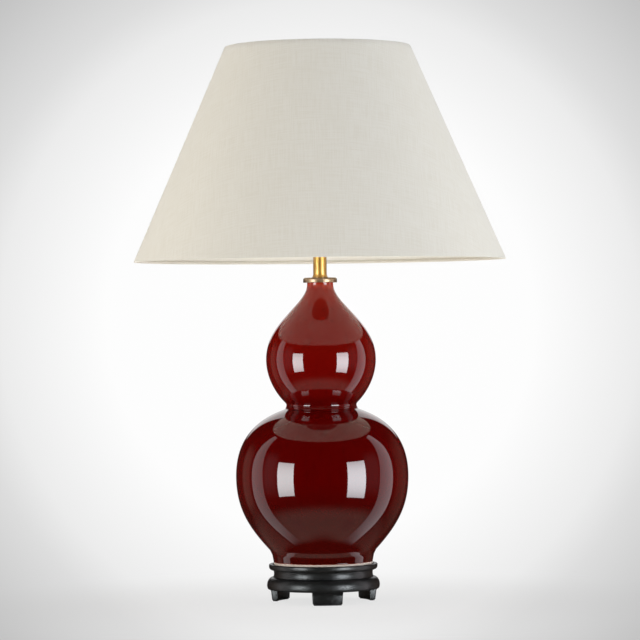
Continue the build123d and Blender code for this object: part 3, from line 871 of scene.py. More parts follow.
@dataclass
class Bench:
    """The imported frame, and what it says of each node's body and material slot.

    The path is the radius of the circle that outlines are swept round, in millimetres.
    """

    frame: dict
    path: float = 50.0
    body_of: dict[str, str] = field(init=False)
    slot_of: dict[str, str] = field(init=False)
    finish_of: dict[str, Finish] = field(init=False)

    def __post_init__(self) -> None:
        """Index the record by node."""
        record = self.frame["record"]
        self.body_of = {node: body for body, nodes in record["behaviour"]["bodies"].items()
                        for node in nodes}
        self.slot_of = {part["node"]: part["material_slot"] for part in record["subparts"]}
        self.finish_of = {finish.slot: finish for finish in FINISHES}

    def finish(self, node: str) -> bpy.types.Material:
        """Return the material that a node's slot asks for."""
        return self.finish_of[self.slot_of[node]].material()

    def span(self, node: str) -> Point:
        """Return a node's lowest and highest level in millimetres."""
        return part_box(node)[0].z / MM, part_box(node)[1].z / MM

    def reach(self, node: str) -> float:
        """Return how far a node reaches from the axis in millimetres."""
        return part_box(node)[1].x / MM

    def join(self, piece: bpy.types.Object, node: str, *replaced: str) -> bpy.types.Object:
        """Let a piece ride with a node's body, and hide the nodes that it stands for.

        Args:
            piece: a finished object at the origin.
            node: the CAD node whose body and slot it shares.
            replaced: the CAD nodes that it stands for, if any.

        Returns:
            The piece.
        """
        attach(piece, self.body_of[node])
        if replaced:
            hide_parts(*replaced)
        log.info("%s rides on %s, %d faces", piece.name, self.body_of[node],
                 len(piece.data.polygons))
        return piece

    def lathe(self, name: str, node: str, outline: Points, closed: bool = True,
              steps: int = 192, sharp: float = 32.0) -> bpy.types.Object:
        """Turn an outline about the axis and let it stand for a node.

        Args:
            name: the piece's name.
            node: the CAD node that it stands for.
            outline: (radius, height) points in millimetres.
            closed: whether the outline's end joins its start; a solid that reaches the axis
                isn't closed.
            steps: how many faces go round it.
            sharp: edges that turn by more degrees stay crisp.

        Returns:
            The turned piece.
        """
        base = bpy.data.meshes.new(name)
        count = len(outline)
        edges = [(i, (i + 1) % count) for i in range(count if closed else count - 1)]
        base.from_pydata([((r - self.path) * MM, -z * MM, 0) for r, z in outline], edges, [])
        piece = Maker.LATHE.run(name, base, {
            "Path radius": self.path * MM, "Steps round": steps, "Finish": self.finish(node)})
        tidy_normals(piece.data, sharp)
        return self.join(piece, node, node)

    def thread(self, name: str, node: str, radius: float, low: float, high: float, pitch: float,
               ridge: float, sides: int = 6, steps: int = 48) -> bpy.types.Object:
        """Wind a thread's ridge round a node.

        Args:
            name: the piece's name.
            node: the CAD node that carries it.
            radius: the helix's radius, in millimetres.
            low: where the thread starts.
            high: where it ends.
            pitch: its rise in one turn.
            ridge: the radius of the ridge's section.
            sides: how many sides that section has.
            steps: how many chords draw one turn.

        Returns:
            The thread.
        """
        length = high - low
        piece = Maker.THREAD.run(name, bpy.data.meshes.new(name), {
            "Root radius": radius * MM, "Low": low * MM, "Length": length * MM,
            "Turns": length / pitch, "Ridge": ridge * MM, "Ridge sides": sides,
            "Steps a turn": steps, "Finish": self.finish(node)})
        tidy_normals(piece.data, 50.0)
        return self.join(piece, node)

    def ring(self, name: str, node: str, shape: bpy.types.Mesh, count: int, radius: float,
             level: float) -> bpy.types.Object:
        """Repeat a small shape round a node, at a radius and level in millimetres.

        Args:
            name: the piece's name.
            node: the CAD node that carries it.
            shape: one copy, about the origin.
            count: how many copies there are.
            radius: their distance from the axis.
            level: their height.

        Returns:
            The ring of copies.
        """
        piece = Maker.RING.run(name, shape, {
            "Count": count, "Radius": radius * MM, "Level": level * MM,
            "Finish": self.finish(node)})
        tidy_normals(piece.data)
        return self.join(piece, node)

    def refine(self, *nodes: str) -> None:
        """Let a merged, smoothed and finished copy stand for each node.

        Args:
            nodes: the CAD nodes whose shape is right.
        """
        for node in nodes:
            mesh = self.frame["nodes"][node].data.copy()
            mesh.materials.clear()
            mesh.materials.append(self.finish(node))
            self.join(put(f"fine_{node}", tidy_normals(mesh)), node, node)


@dataclass
class Assembly:
    """A sub-assembly on the bench; a subclass holds its sizes, in millimetres."""

    bench: Bench

    def build(self) -> None:
        """Make, finish and place the sub-assembly's pieces."""
        raise NotImplementedError


# ------------------------------------------------------------------ stand

@dataclass
class Stand(Assembly):
    """Turned deck and apron, three bracket feet with felt pads, all ebonised.

    Edges that turn by more than corner are eased, and those left over sharp stay crisp, in
    degrees.
    """

    waist_radius: float = 75.2
    waist_hollow: float = 1.2
    waist_handle: float = 1.5
    waist_height: float = 10.2
    rim_under: float = 5.1
    rim_edge: float = 1.8
    recess_radius: float = 76.2
    recess_depth: float = 2.4
    recess_edge: float = 0.4
    panel: float = 10.0
    underside_radius: float = 61.0
    rod_hole: float = 5.3
    apron_inner: float = 66.0
    apron_edge: float = 0.8
    apron_chamfer: Point = (0.9, 0.25)
    bulge_centre: float = 75.4
    bulge_out: float = 9.5
    bulge_rise: float = 12.5
    bulge_fall: float = 11.0
    bulge_return: float = 9.5
    toe_radius: float = 78.4
    toe_level: float = 1.6
    foot_thickness: float = 9.0
    foot_width: float = 45.6
    foot_taper: float = 3.0
    foot_rows: int = 14
    foot_columns: int = 18
    foot_angles: tuple[tuple[str, float], ...] = (
        ("front", 4.7), ("left", -114.0), ("right", 112.0))
    arris: float = 0.7
    corner: float = 50.0
    sharp: float = 40.0

    def build(self) -> None:
        """Make the deck, the apron, the feet and the pads."""
        self.deck()
        self.apron()
        for side, angle in self.foot_angles:
            self.foot(side, angle)
        self.bench.refine("foot_pad_front", "foot_pad_left", "foot_pad_right")

    def deck(self) -> None:
        """Turn the deck: hollow waist, ovolo under the rim, and the dish for the gourd."""
        low, high = self.bench.span("stand_deck")
        rim = self.bench.reach("stand_deck")
        middle, waist_top = low + self.waist_height / 2, low + self.waist_height
        throat = self.waist_radius - self.waist_hollow
        floor = high - self.recess_depth
        outline = bezier((self.waist_radius, low), (throat, middle - self.waist_handle),
                         (throat, middle + self.waist_handle), (self.waist_radius, waist_top), 10)
        outline += rounded((self.waist_radius, waist_top), (rim, waist_top, self.rim_under),
                           (rim, high, self.rim_edge),
                           (self.recess_radius, high, self.recess_edge),
                           (self.recess_radius, floor), steps=10)[1:]
        outline += [(self.rod_hole, floor), (self.rod_hole, floor - self.panel),
                    (self.underside_radius, floor - self.panel), (self.underside_radius, low)]
        self.bench.lathe("turned_deck", "stand_deck", divided(outline, 3.0), steps=256)

    def bulge(self, level: float, top: float) -> float:
        """Return the outer radius of the apron or a foot at a level.

        Args:
            level: the height asked for.
            top: the apron's top, where the curve starts.

        Returns:
            The radius in millimetres.
        """
        centre = top - self.bulge_rise
        reach = self.bulge_rise if level > centre else self.bulge_fall
        heel = centre - self.bulge_return
        if level < heel:
            edge = self.bulge(heel, top)
            share = (level - self.toe_level) / (heel - self.toe_level)
            return self.toe_radius + (edge - self.toe_radius) * share
        return self.bulge_centre + self.bulge_out * math.sqrt(
            max(0.0, 1 - ((level - centre) / reach) ** 2))

    def apron(self) -> None:
        """Turn the bulged ring under the deck."""
        low, high = self.bench.span("stand_apron")
        start, steps, edge = low + self.apron_edge, 28, self.bulge(low, high)
        foot, heel = self.apron_chamfer
        outline = [(self.apron_inner, low), (edge - foot, low), (edge - heel, low + heel)]
        for step in range(steps + 1):
            level = start + (high - start) * math.sin(step / steps * math.pi / 2)
            outline.append((self.bulge(level, high), level))
        outline.append((self.apron_inner, high))
        self.bench.lathe("turned_apron", "stand_apron", divided(outline, 3.0), steps=256)

    def foot(self, side: str, angle: float) -> None:
        """Carve one bracket foot: the apron's curve run down, with soft arrises.

        Args:
            side: the foot's name.
            angle: its place round the axis, in degrees from the front.
        """
        node = f"stand_foot_{side}"
        low, high = self.bench.span(node)
        top = self.bench.span("stand_apron")[1]
        rows, columns = self.foot_rows, self.foot_columns
        lean = math.tan(math.radians(self.foot_taper))
        work = bmesh.new()
        grid = {}
        for row in range(rows + 1):
            level = low + (high - low) * row / rows
            half = self.foot_width / 2 - (high - level) * lean
            for face, radius in enumerate((self.bulge(level, top),
                                           self.toe_radius - self.foot_thickness)):
                for column in range(columns + 1):
                    x = half * (2 * column / columns - 1)
                    spot = Vector((x, -math.sqrt(radius ** 2 - x * x), level))
                    grid[face, row, column] = work.verts.new(spot * MM)
        quads = [[(face, row, column), (face, row, column + 1), (face, row + 1, column + 1),
                  (face, row + 1, column)]
                 for face in (0, 1) for row in range(rows) for column in range(columns)]
        quads += [[(0, row, column), (0, row + 1, column), (1, row + 1, column),
                   (1, row, column)] for row in range(rows) for column in (0, columns)]
        quads += [[(0, row, column), (0, row, column + 1), (1, row, column + 1),
                   (1, row, column)] for row in (0, rows) for column in range(columns)]
        for quad in quads:
            work.faces.new([grid[key] for key in quad])
        bmesh.ops.recalc_face_normals(work, faces=work.faces)
        crisp = [e for e in work.edges if e.calc_face_angle(0) > math.radians(self.corner)
                 and min(v.co.z for v in e.verts) < high * MM - MERGE]
        bmesh.ops.bevel(work, geom=crisp, offset=self.arris * MM, segments=3, profile=0.5,
                        affect="EDGES")
        bmesh.ops.rotate(work, cent=(0, 0, 0), verts=work.verts,
                         matrix=Matrix.Rotation(math.radians(angle), 3, "Z"))
        mesh = mesh_of(work, node)
        mesh.materials.append(self.bench.finish(node))
        self.bench.join(put(f"carved_foot_{side}", tidy_normals(mesh, self.sharp)), node, node)


# ------------------------------------------------------------------ gourd

@dataclass
class Gourd(Assembly):
    """Thin-walled double gourd, thrown and glazed, with its gasket and its cork bung.

    Points are (radius, height) above the deck. A pair of handles lies under and over its point.
    Blends are the lengths over which the glaze softens the waist's two corners and the flare's.
    """

    wall: float = 6.0
    foot_radius: float = 74.4
    foot_ring: float = 9.5
    foot_bevel: float = 1.0
    foot_recess: float = 4.0
    floor: float = 7.6
    floor_radius: float = 63.0
    rod_hole: float = 5.3
    flare: Point = (77.4, 18.6)
    flare_handle: Point = (33.0, 35.7)
    belly: Point = (129.85, 132.6)
    belly_handles: Point = (49.1, 53.1)
    waist: Point = (54.2, 233.6)
    waist_handle: Point = (48.7, -16.2)
    band: float = 9.0
    band_handle: Point = (1.6, 1.4)
    crease: float = 3.4
    crease_in: float = 0.7
    crease_lip: float = 0.12
    cove: float = 1.7
    crown: Point = (82.7, 308.1)
    crown_handles: Point = (38.6, 56.9)
    neck: Point = (19.6, 421.2)
    neck_handle: float = 30.5
    blends: tuple[float, float, float] = (2.6, 2.2, 2.6)
    coarse: float = 2.2
    fine: float = 0.7
    glaze_step: float = 0.3
    glaze_level: float = 3.6

    def build(self) -> None:
        """Turn the gourd from its curves, and finish what seals it."""
        base, top = self.bench.span("gourd_body")

        def at(point: Point, out: float = 0.0, up: float = 0.0) -> Point:
            """Return a point of the gourd, moved outwards and up, above the deck."""
            return point[0] + out, base + point[1] + up

        waist_top = (self.waist[0], self.waist[1] + self.band)
        belly_under, belly_over = self.belly_handles
        crown_under, crown_over = self.crown_handles
        swell = bezier(at(self.flare), at(self.flare, *self.flare_handle),
                       at(self.belly, 0, -belly_under), at(self.belly), 34)
        shoulder = bezier(at(self.belly), at(self.belly, 0, belly_over),
                          at(self.waist, *self.waist_handle), at(self.waist), 34)
        rise = bezier(at(waist_top), at(waist_top, *self.band_handle),
                      at(self.crown, 0, -crown_under), at(self.crown), 30)
        throat = bezier(at(self.crown), at(self.crown, 0, crown_over),
                        at(self.neck, 0, -self.neck_handle), at(self.neck), 36)
        glaze = base + self.glaze_level
        foot = [(self.foot_radius - self.foot_bevel, base),
                (self.foot_radius, base + self.foot_bevel), (self.foot_radius, glaze - 0.3),
                (self.foot_radius + self.glaze_step, glaze + 0.3),
                (self.foot_radius + self.glaze_step + 0.05, glaze + 1.2)]
        crease = at(self.waist, -self.crease_in, self.crease)
        lip = [(crease[0], crease[1] - 0.3), (crease[0] + self.crease_lip, crease[1])]
        cove = bezier(crease, at(self.waist, -self.cove, self.crease + 2.0),
                      at(self.waist, -self.cove, self.band - 1.6), at(waist_top), 12)
        outer = divided(foot + swell + shoulder[1:-3], self.coarse)
        outer += divided(shoulder[-3:] + lip, self.fine) + cove[1:]
        outer += divided(rise[1:4], self.fine) + divided(rise[4:] + throat[1:], self.coarse)
        outer.append((self.neck[0], top))
        for corner, reach in zip((self.waist, waist_top, self.flare), self.blends):
            outer = soften(outer, at(corner), reach)
        start = next(i for i, p in enumerate(outer) if p[1] > base + self.flare[1])
        inner = follow(outer[start:], self.wall)[::-5]
        floor_low = base + self.foot_recess
        floor_top = floor_low + self.floor
        ring = self.foot_radius - self.foot_ring
        closing = [(self.floor_radius, floor_top), (self.rod_hole, floor_top),
                   (self.rod_hole, floor_low), (ring - self.foot_bevel, floor_low), (ring, base)]
        self.bench.lathe("glazed_gourd", "gourd_body", outer + inner + closing, steps=256)
        self.bench.refine("foot_gasket", "neck_bung")


# ------------------------------------------------------------------ brass stem and rod

@dataclass
class Stem(Assembly):
    """Spun brass cap over the gourd's neck, with its collar and the tube above it."""

    recess_radius: float = 19.95
    recess: float = 1.5
    rod_hole: float = 5.3
    cap_round: float = 3.0
    lip_bevel: float = 0.7
    edge: float = 0.3
    rim: float = 0.4
    collar_clear: float = 0.05
    collar_foot: float = 1.0
    collar_lip: float = 0.55
    foot_handle: Point = (0.6, 0.3)
    lip_handle: Point = (0.1, 1.2)
    wall: float = 1.0
    end: float = 2.5

    def build(self) -> None:
        """Turn the cap, the collar and the tube."""
        low, high = self.bench.span("vase_cap")
        radius = self.bench.reach("vase_cap")
        inside = low + self.recess
        outline = rounded((self.recess_radius, low), (radius - self.edge, low, self.edge),
                          (radius, low + self.lip_bevel, self.rim),
                          (radius, high, self.cap_round), (self.rod_hole, high), steps=8)
        outline += [(self.rod_hole, inside), (self.recess_radius, inside)]
        self.bench.lathe("spun_cap", "vase_cap", divided(outline, 2.0))

        stem = self.bench.reach("stem_tube")
        top = self.bench.span("stem_collar")[1]
        wide = self.bench.reach("stem_collar")
        foot = high + self.collar_foot
        lip = stem + self.collar_lip
        bore = stem + self.collar_clear
        handles = [(lip + out, foot + up) for out, up in (self.foot_handle, self.lip_handle)]
        outline = [(bore, high), (wide - self.edge, high), (wide, high + self.edge)]
        outline += bezier((wide, foot), *handles, (lip, top), 10) + [(bore, top)]
        self.bench.lathe("turned_collar", "stem_collar", outline, steps=128)

        end = self.bench.span("stem_tube")[1]
        bore = stem - self.wall
        outline = rounded((bore, high), (stem, high), (stem, end, self.rim), (self.rod_hole, end),
                          (self.rod_hole, end - self.end), (bore, end - self.end), steps=4)
        self.bench.lathe("brass_tube", "stem_tube", divided(outline, 6.0), steps=128)


@dataclass
class RodStack(Assembly):
    """Hollow rod with what clamps it under the deck: washers, nut and the cord's bush."""

    pitch: float = 1.0
    ridge: float = 0.36
    teeth: int = 12
    tooth: tuple[float, float, float] = (1.6, 1.3, 0.9)
    tooth_bevel: float = 0.15

    def build(self) -> None:
        """Finish the rod's pieces, thread its tail and cut the lock washer's teeth."""
        self.bench.refine("threaded_rod", "base_washer", "lock_washer", "base_nut", "rod_bush")
        start, end = self.bench.span("threaded_rod")[0], self.bench.span("base_nut")[0]
        root = self.bench.reach("threaded_rod") - self.ridge
        self.bench.thread("rod_tail_thread", "threaded_rod", root,
                          start + self.ridge, end - self.ridge, self.pitch, self.ridge)
        rim = self.bench.reach("lock_washer") - self.tooth[0] / 2
        self.bench.ring("lock_washer_teeth", "lock_washer", block(self.tooth, self.tooth_bevel),
                        self.teeth, rim, sum(self.bench.span("lock_washer")) / 2)


# ------------------------------------------------------------------ lampholder and bulb

@dataclass
class Lampholder(Assembly):
    """Brass screw lampholder: cap, barrel, porcelain base, shell, skirt and shade ring."""

    wall: float = 0.8
    edge: float = 0.5
    lip: float = 0.3
    bead_levels: Point = (5.0, -7.0)
    bead_depth: float = 0.45
    bead_half: Point = (1.2, 0.7)
    skirt_pitch: float = 2.5
    skirt_ridge: float = 0.3
    skirt_ends: Point = (0.5, 0.4)
    flange: float = 1.6
    flange_round: float = 0.35
    flange_out: float = 2.1
    ring_wall: float = 3.9
    ribs: int = 48
    rib: Point = (1.0, 1.3)
    rib_ends: float = 1.2

    def build(self) -> None:
        """Turn the barrel with its beads, thread the skirt and rib the shade ring."""
        self.bench.refine("holder_cap", "holder_insulator", "screw_shell", "centre_contact",
                          "terminal_screws", "switch_bar", "holder_skirt")
        low, high = self.bench.span("holder_barrel")
        radius = self.bench.reach("holder_barrel")
        bore = radius - self.wall
        wide, near = self.bead_half
        outline = [(bore, low), (radius - self.edge, low), (radius, low + self.edge)]
        for level in (low + self.bead_levels[0], high + self.bead_levels[1]):
            outline += rounded((radius, level - wide), (radius, level - near, 0.3),
                               (radius - self.bead_depth, level, 0.5),
                               (radius, level + near, 0.3), (radius, level + wide), steps=4)
        outline += [(radius, high - self.lip), (radius - self.lip, high), (bore, high)]
        self.bench.lathe("brass_barrel", "holder_barrel", divided(outline, 3.0), steps=160)

        low, high = self.bench.span("holder_skirt")
        first, last = self.skirt_ends
        root = self.bench.reach("holder_skirt") - self.skirt_ridge
        self.bench.thread("skirt_thread", "holder_skirt", root, low + first, high - last,
                          self.skirt_pitch, self.skirt_ridge, steps=72)

        low, high = self.bench.span("holder_ring")
        radius = self.bench.reach("holder_ring")
        body, inner, step = radius - self.flange_out, radius - self.ring_wall, low + self.flange
        outline = rounded((inner, low), (radius, low, self.flange_round),
                          (radius, step, self.flange_round), (body, step, 0.2),
                          (body, high, 0.4), (inner, high), steps=4)
        self.bench.lathe("brass_shade_ring", "holder_ring", divided(outline, 2.0), steps=160)
        rib = block((*self.rib, high - step - self.rib_ends), 0.3)
        self.bench.ring("shade_ring_ribs", "holder_ring", rib, self.ribs, body, (step + high) / 2)


@dataclass
class Bulb(Assembly):
    """Opal globe on its housing, with a rolled screw cap and a soldered contact."""

    pitch: float = 3.629
    ridge: float = 1.15
    root_depth: float = 1.1
    root_sunk: float = 0.15
    thread_ends: Point = (3.2, 3.6)
    shell: float = 1.6
    side_handle: float = 26.8
    crown_handle: float = 17.4
    heel: Point = (13.4, 0.4)
    flare: Point = (13.8, 2.0)
    flare_handle: Point = (1.0, 12.0)
    joint_handle: float = 14.0

    def build(self) -> None:
        """Turn the globe and housing, and roll the cap's thread."""
        self.bench.refine("bulb_contact", "bulb_insulator")
        low, high = self.bench.span("bulb_dome")
        radius = self.bench.reach("bulb_dome")
        faces = []
        for wall in (0, self.shell):
            faces.append(bezier((radius - wall, low), (radius - wall, low + self.side_handle),
                                (self.crown_handle - wall, high - wall), (0, high - wall), 40))
        outer, inner = faces
        self.bench.lathe("opal_globe", "bulb_dome", outer + inner[::-1], steps=128)

        low, high = self.bench.span("bulb_body")
        joint = self.bench.reach("bulb_body")
        (heel, bevel), (narrow, rise), (out, up) = self.heel, self.flare, self.flare_handle
        outline = [(0, low), (heel, low), (narrow, low + bevel)]
        outline += bezier((narrow, low + rise), (narrow + out, low + rise + up),
                          (joint, high - self.joint_handle), (joint, high), 30)
        outline.append((0, high))
        self.bench.lathe("bulb_housing", "bulb_body", outline, closed=False, steps=128)

        low, high = self.bench.span("bulb_cap")
        crest = self.bench.reach("bulb_cap")
        root = crest - self.root_depth
        first, last = self.thread_ends
        outline = rounded((0, low), (root - 1.2, low, 0.6), (root, low + 2.2, 0.8),
                          (root, high - 3.0, 0.5), (crest - 0.1, high - 2.2, 0.4),
                          (crest - 0.1, high, 0.3), (0, high), steps=4)
        outline = divided(outline, 2.0)
        self.bench.lathe("bulb_screw_cap", "bulb_cap", outline, closed=False, steps=128)
        self.bench.thread("bulb_cap_thread", "bulb_cap", root - self.root_sunk, low + first,
                          high - last, self.pitch, self.ridge, sides=12, steps=64)


# ------------------------------------------------------------------ harp

@dataclass
class Harp(Assembly):
    """Nickel-plated wire harp on its saddle, with lock sleeves and the swivel stud."""

    pitch: float = 0.94
    ridge: float = 0.3
    stud: float = 3.1
    thread_ends: Point = (0.6, 0.9)

    def build(self) -> None:
        """Finish the harp's pieces and thread the stud."""
        self.bench.refine("harp_saddle", "harp_frame", "swivel_stud", "harp_sleeve_left",
                          "harp_sleeve_right")
        first, last = self.thread_ends
        low, high = self.bench.span("spider")[0], self.bench.span("swivel_stud")[1]
        self.bench.thread("stud_thread", "swivel_stud", self.stud - self.ridge,
                          low + first, high - last, self.pitch, self.ridge)


# ------------------------------------------------------------------ shade

@dataclass
class Shade(Assembly):
    """Tapered shade: cotton laminated to white film, on white wire rings and a spider.

    The fold is a hem's section, as (depth, distance from the rim) corners and their rounding:
    under the wire, up its inner side and down onto the lining. The lap's section is given in
    shares of its width and its rise.
    """

    cover: float = 1.0
    lap: float = 11.0
    lap_rise: float = 0.35
    lap_section: Points = field(default_factory=lambda: [
        (-0.5, 0.0), (-0.46, 1.0), (0.0, 1.0), (0.46, 1.0), (0.5, 0.0)])
    edge_turn: float = 0.35
    fold: tuple = ((1.1, 0.05), (4.8, 0.05, 1.3), (4.8, 2.9, 0.8), (2.9, 5.2, 0.2),
                   (2.12, 5.2, 0.2), (4.2, 2.68, 0.4), (4.2, 0.6, 0.7), (1.1, 0.6))
    rows: int = 40
    steps: int = 360
    seam_angle: float = 90.0
    bottom: float = field(init=False)
    top: float = field(init=False)
    low_radius: float = field(init=False)
    high_radius: float = field(init=False)

    def build(self) -> None:
        """Make the cover, its lap seam, the hems, the lining and the wires."""
        low, high = (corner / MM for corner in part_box("shade_cover"))
        self.bottom, self.top = low.z, high.z
        self.low_radius = high.x
        rims = [v.co for v in self.bench.frame["nodes"]["shade_cover"].data.vertices
                if v.co.z > high.z * MM - MERGE]
        self.high_radius = max(math.hypot(spot.x, spot.y) for spot in rims) / MM
        cover = self.sheet("shade_fabric", "shade_cover", 0.0, self.cover)
        seam = self.seam()
        hems = [self.hem(end) for end in ("top", "bottom")]
        self.bench.refine("shade_lining", "top_ring", "bottom_ring", "spider")

    def slope(self) -> float:
        """Return how much wider the cone grows for each millimetre down."""
        return (self.low_radius - self.high_radius) / (self.top - self.bottom)

    def radius(self, level: float, depth: float = 0.0) -> float:
        """Return the cone's radius at a level, at a depth under its outer face.

        Args:
            level: the height asked for.
            depth: how far under the outer face, square to it.

        Returns:
            The radius in millimetres.
        """
        outer = self.high_radius + (self.top - level) * self.slope()
        return outer - depth * math.hypot(1, self.slope())

    def flat_cut(self, piece: bpy.types.Object) -> None:
        """Give a piece the flat cut of the cone, in metres, as its UV map.

        Args:
            piece: a piece that lies on the cone.
        """
        mesh = piece.data
        layer = mesh.uv_layers.new(name="flat_cut")
        sine = self.slope() / math.hypot(1, self.slope())
        for polygon in mesh.polygons:
            middle = math.atan2(polygon.center.x, -polygon.center.y)
            for index in polygon.loop_indices:
                spot = mesh.vertices[mesh.loops[index].vertex_index].co
                angle = math.atan2(spot.x, -spot.y)
                if abs(angle - middle) > math.pi:
                    angle += math.copysign(math.tau, middle)
                slant = math.hypot(spot.x, spot.y) / sine
                layer.data[index].uv = (slant * math.sin(angle * sine),
                                        slant * math.cos(angle * sine))

    def sheet(self, name: str, node: str, near: float,
              far: float) -> bpy.types.Object:
        """Turn a sheet of the cone between two depths, with its edges turned softly.

        Args:
            name: the piece's name.
            node: the CAD node that it stands for.
            near: the depth of its outer face.
            far: the depth of its inner face.

        Returns:
            The sheet.
        """
        turn = self.edge_turn
        outside = [(self.radius(z, near), z) for z in self.levels(turn)]
        inside = [(self.radius(z, far), z) for z in reversed(self.levels(turn))]
        middle = (near + far) / 2
        outline = ([(self.radius(self.bottom, middle), self.bottom)] + outside
                   + [(self.radius(self.top, middle), self.top)] + inside)
        piece = self.bench.lathe(name, node, outline, steps=self.steps, sharp=70.0)
        self.flat_cut(piece)
        return piece

    def levels(self, margin: float) -> list[float]:
        """Return the levels of the sheet's rows, from its lower to its upper edge."""
        low, high = self.bottom + margin, self.top - margin
        return [low + (high - low) * row / self.rows for row in range(self.rows + 1)]

    def seam(self) -> bpy.types.Object:
        """Lay the lap of the cover's seam down the back, a thin strip with a turned edge.

        Returns:
            The lap.
        """
        work = bmesh.new()
        rows = []
        for level in self.levels(self.edge_turn):
            row = []
            for column, rise in self.lap_section:
                radius = self.radius(level, -rise * self.lap_rise)
                angle = math.radians(self.seam_angle) + column * self.lap / radius
                row.append(work.verts.new(Vector((radius * math.cos(angle),
                                                  radius * math.sin(angle), level)) * MM))
            rows.append(row)
        for low, high in zip(rows, rows[1:]):
            for i in range(len(self.lap_section) - 1):
                work.faces.new((low[i], low[i + 1], high[i + 1], high[i]))
            work.faces.new((low[-1], low[0], high[0], high[-1]))
        for row in (rows[0], rows[-1]):
            work.faces.new(row)
        mesh = mesh_of(work, "shade_seam_lap")
        mesh.materials.append(self.bench.finish("shade_cover"))
        piece = put("shade_seam_lap", tidy_normals(mesh, 60.0))
        self.flat_cut(piece)
        return self.bench.join(piece, "shade_cover")

    def hem(self, end: str) -> bpy.types.Object:
        """Turn the tape folded round a wire ring: under it and up its inner side.

        Args:
            end: top or bottom.

        Returns:
            The tape.
        """
        node = f"{end}_hem"
        rim, side = (self.bottom, 1) if end == "bottom" else (self.top, -1)
        outline = [(self.radius(rim + side * up, depth), rim + side * up)
                   for depth, up in rounded(*self.fold, steps=6)]
        piece = self.bench.lathe(f"{end}_hem_tape", node, outline, steps=self.steps, sharp=60.0)
        self.flat_cut(piece)
        # The hem tape takes the darker cotton: painted shade inside the rims.
        piece.data.materials[0] = HEM_TAPE_PAINTED_SHADE.material()
        return piece


@dataclass
class Finial(Assembly):
    """Turned brass knob that holds the shade, on its captive washer."""

    ribs: int = 36
    rib: tuple[float, float, float] = (0.5, 0.6, 2.6)
    rib_bevel: float = 0.15
    base_radius: float = 6.5
    base_middle: float = 1.7
    sunk: float = 0.1

    def build(self) -> None:
        """Finish the knob and the washer, and knurl the knob's base."""
        self.bench.refine("finial", "finial_washer")
        middle = self.bench.span("finial")[0] + self.base_middle
        self.bench.ring("finial_knurl", "finial", block(self.rib, self.rib_bevel), self.ribs,
                        self.base_radius - self.sunk, middle)


# ------------------------------------------------------------------ studio

def only_reflected(piece: bpy.types.Object) -> None:
    """Hide a stage piece from every ray but reflections.

    Args:
        piece: the card or roof.
    """
    for rays in ("camera", "diffuse", "transmission", "volume_scatter", "shadow"):
        setattr(piece, f"visible_{rays}", False)


@dataclass(frozen=True)
class Card:
    """One card bent round the lamp, for reflections alone: a softbox, a panel or a flag.

    Azimuths run from the camera's side towards +X and elevations from the belly, in degrees.
    Glow is its brightest, edge the share left at its top and bottom, lean how much brighter
    its end is than its middle, soft the shares of its width and height that fade out at each
    side, foot the share that fades out at its low end alone, narrow the degrees that its start
    and end move by towards its top, and reach its distance as a share of the cards' radius.
    """

    name: str
    start: float
    end: float
    low: float
    high: float
    glow: float
    edge: float = 1.0
    lean: float = 0.0
    soft: Point = (0.0, 0.0)
    foot: float = 0.0
    narrow: Point = (0.0, 0.0)
    reach: float = 1.0
    tint: str = "FFFFFF"
    rows: int = 16
    step: float = 5.0

    def build(self, radius: float, level: float) -> None:
        """Bend the card at a radius about the lamp, around a level, both in metres.

        Its UV map runs from -1 to 1 across and up it.

        Args:
            radius: the cards' distance from the axis.
            level: the height that elevations start from.
        """
        radius *= self.reach
        columns = max(2, int((self.end - self.start) / self.step))
        spots, faces, cuts = [], [], []
        for row in range(self.rows + 1):
            up = 2 * row / self.rows - 1
            elevation = math.radians(self.low + (self.high - self.low) * (up + 1) / 2)
            start, end = (side + max(0.0, up) ** 2 * move
                          for side, move in zip((self.start, self.end), self.narrow))
            for column in range(columns + 1):
                angle = math.radians(start + (end - start) * column / columns)
                spots.append((radius * math.sin(angle), -radius * math.cos(angle),
                              level + radius * math.tan(elevation)))
                cuts.append((2 * column / columns - 1, up))
                first = row * (columns + 1) + column
                if column < columns and row < self.rows:
                    faces.append((first, first + 1, first + columns + 2, first + columns + 1))
        mesh = bpy.data.meshes.new(self.name)
        mesh.from_pydata(spots, [], faces)
        layer = mesh.uv_layers.new(name="card")
        for loop in mesh.loops:
            layer.data[loop.index].uv = cuts[loop.vertex_index]
        mesh.materials.append(material_of(self.name, self.dress))
        only_reflected(put(self.name, mesh))

    def dress(self, tree: Tree) -> Node:
        """Light the card, brightest in the middle of its height, and clear at its soft sides.

        Args:
            tree: the shader tree.

        Returns:
            The shader.
        """
        spot = add(tree, "ShaderNodeUVMap", uv_map="card")
        across, up, _ = add(tree, "ShaderNodeSeparateXYZ", [spot]).outputs
        bow = add(tree, "ShaderNodeMath", (up, up), operation="MULTIPLY")
        glow = self.glow
        for axis, lean in ((bow, self.edge - 1), (across, self.lean)):
            share = add(tree, "ShaderNodeMath", (axis, lean, 1.0), operation="MULTIPLY_ADD")
            glow = add(tree, "ShaderNodeMath", (share, glow), operation="MULTIPLY")
        light = add(tree, "ShaderNodeEmission", {"Color": self.tint, "Strength": glow})
        fades = [(add(tree, "ShaderNodeMath", [axis], operation="ABSOLUTE"), 1.0, 1 - 2 * soft)
                 for axis, soft in zip((across, up), self.soft) if soft]
        if self.foot:
            fades.append((up, -1.0, 2 * self.foot - 1))
        for axis, gone, full in fades:
            share = add(tree, "ShaderNodeMapRange", {
                "Value": axis, "From Min": gone, "From Max": full}, **SMOOTH)
            clear = add(tree, "ShaderNodeBsdfTransparent")
            light = add(tree, "ShaderNodeMixShader", (share, clear, light))
        return light


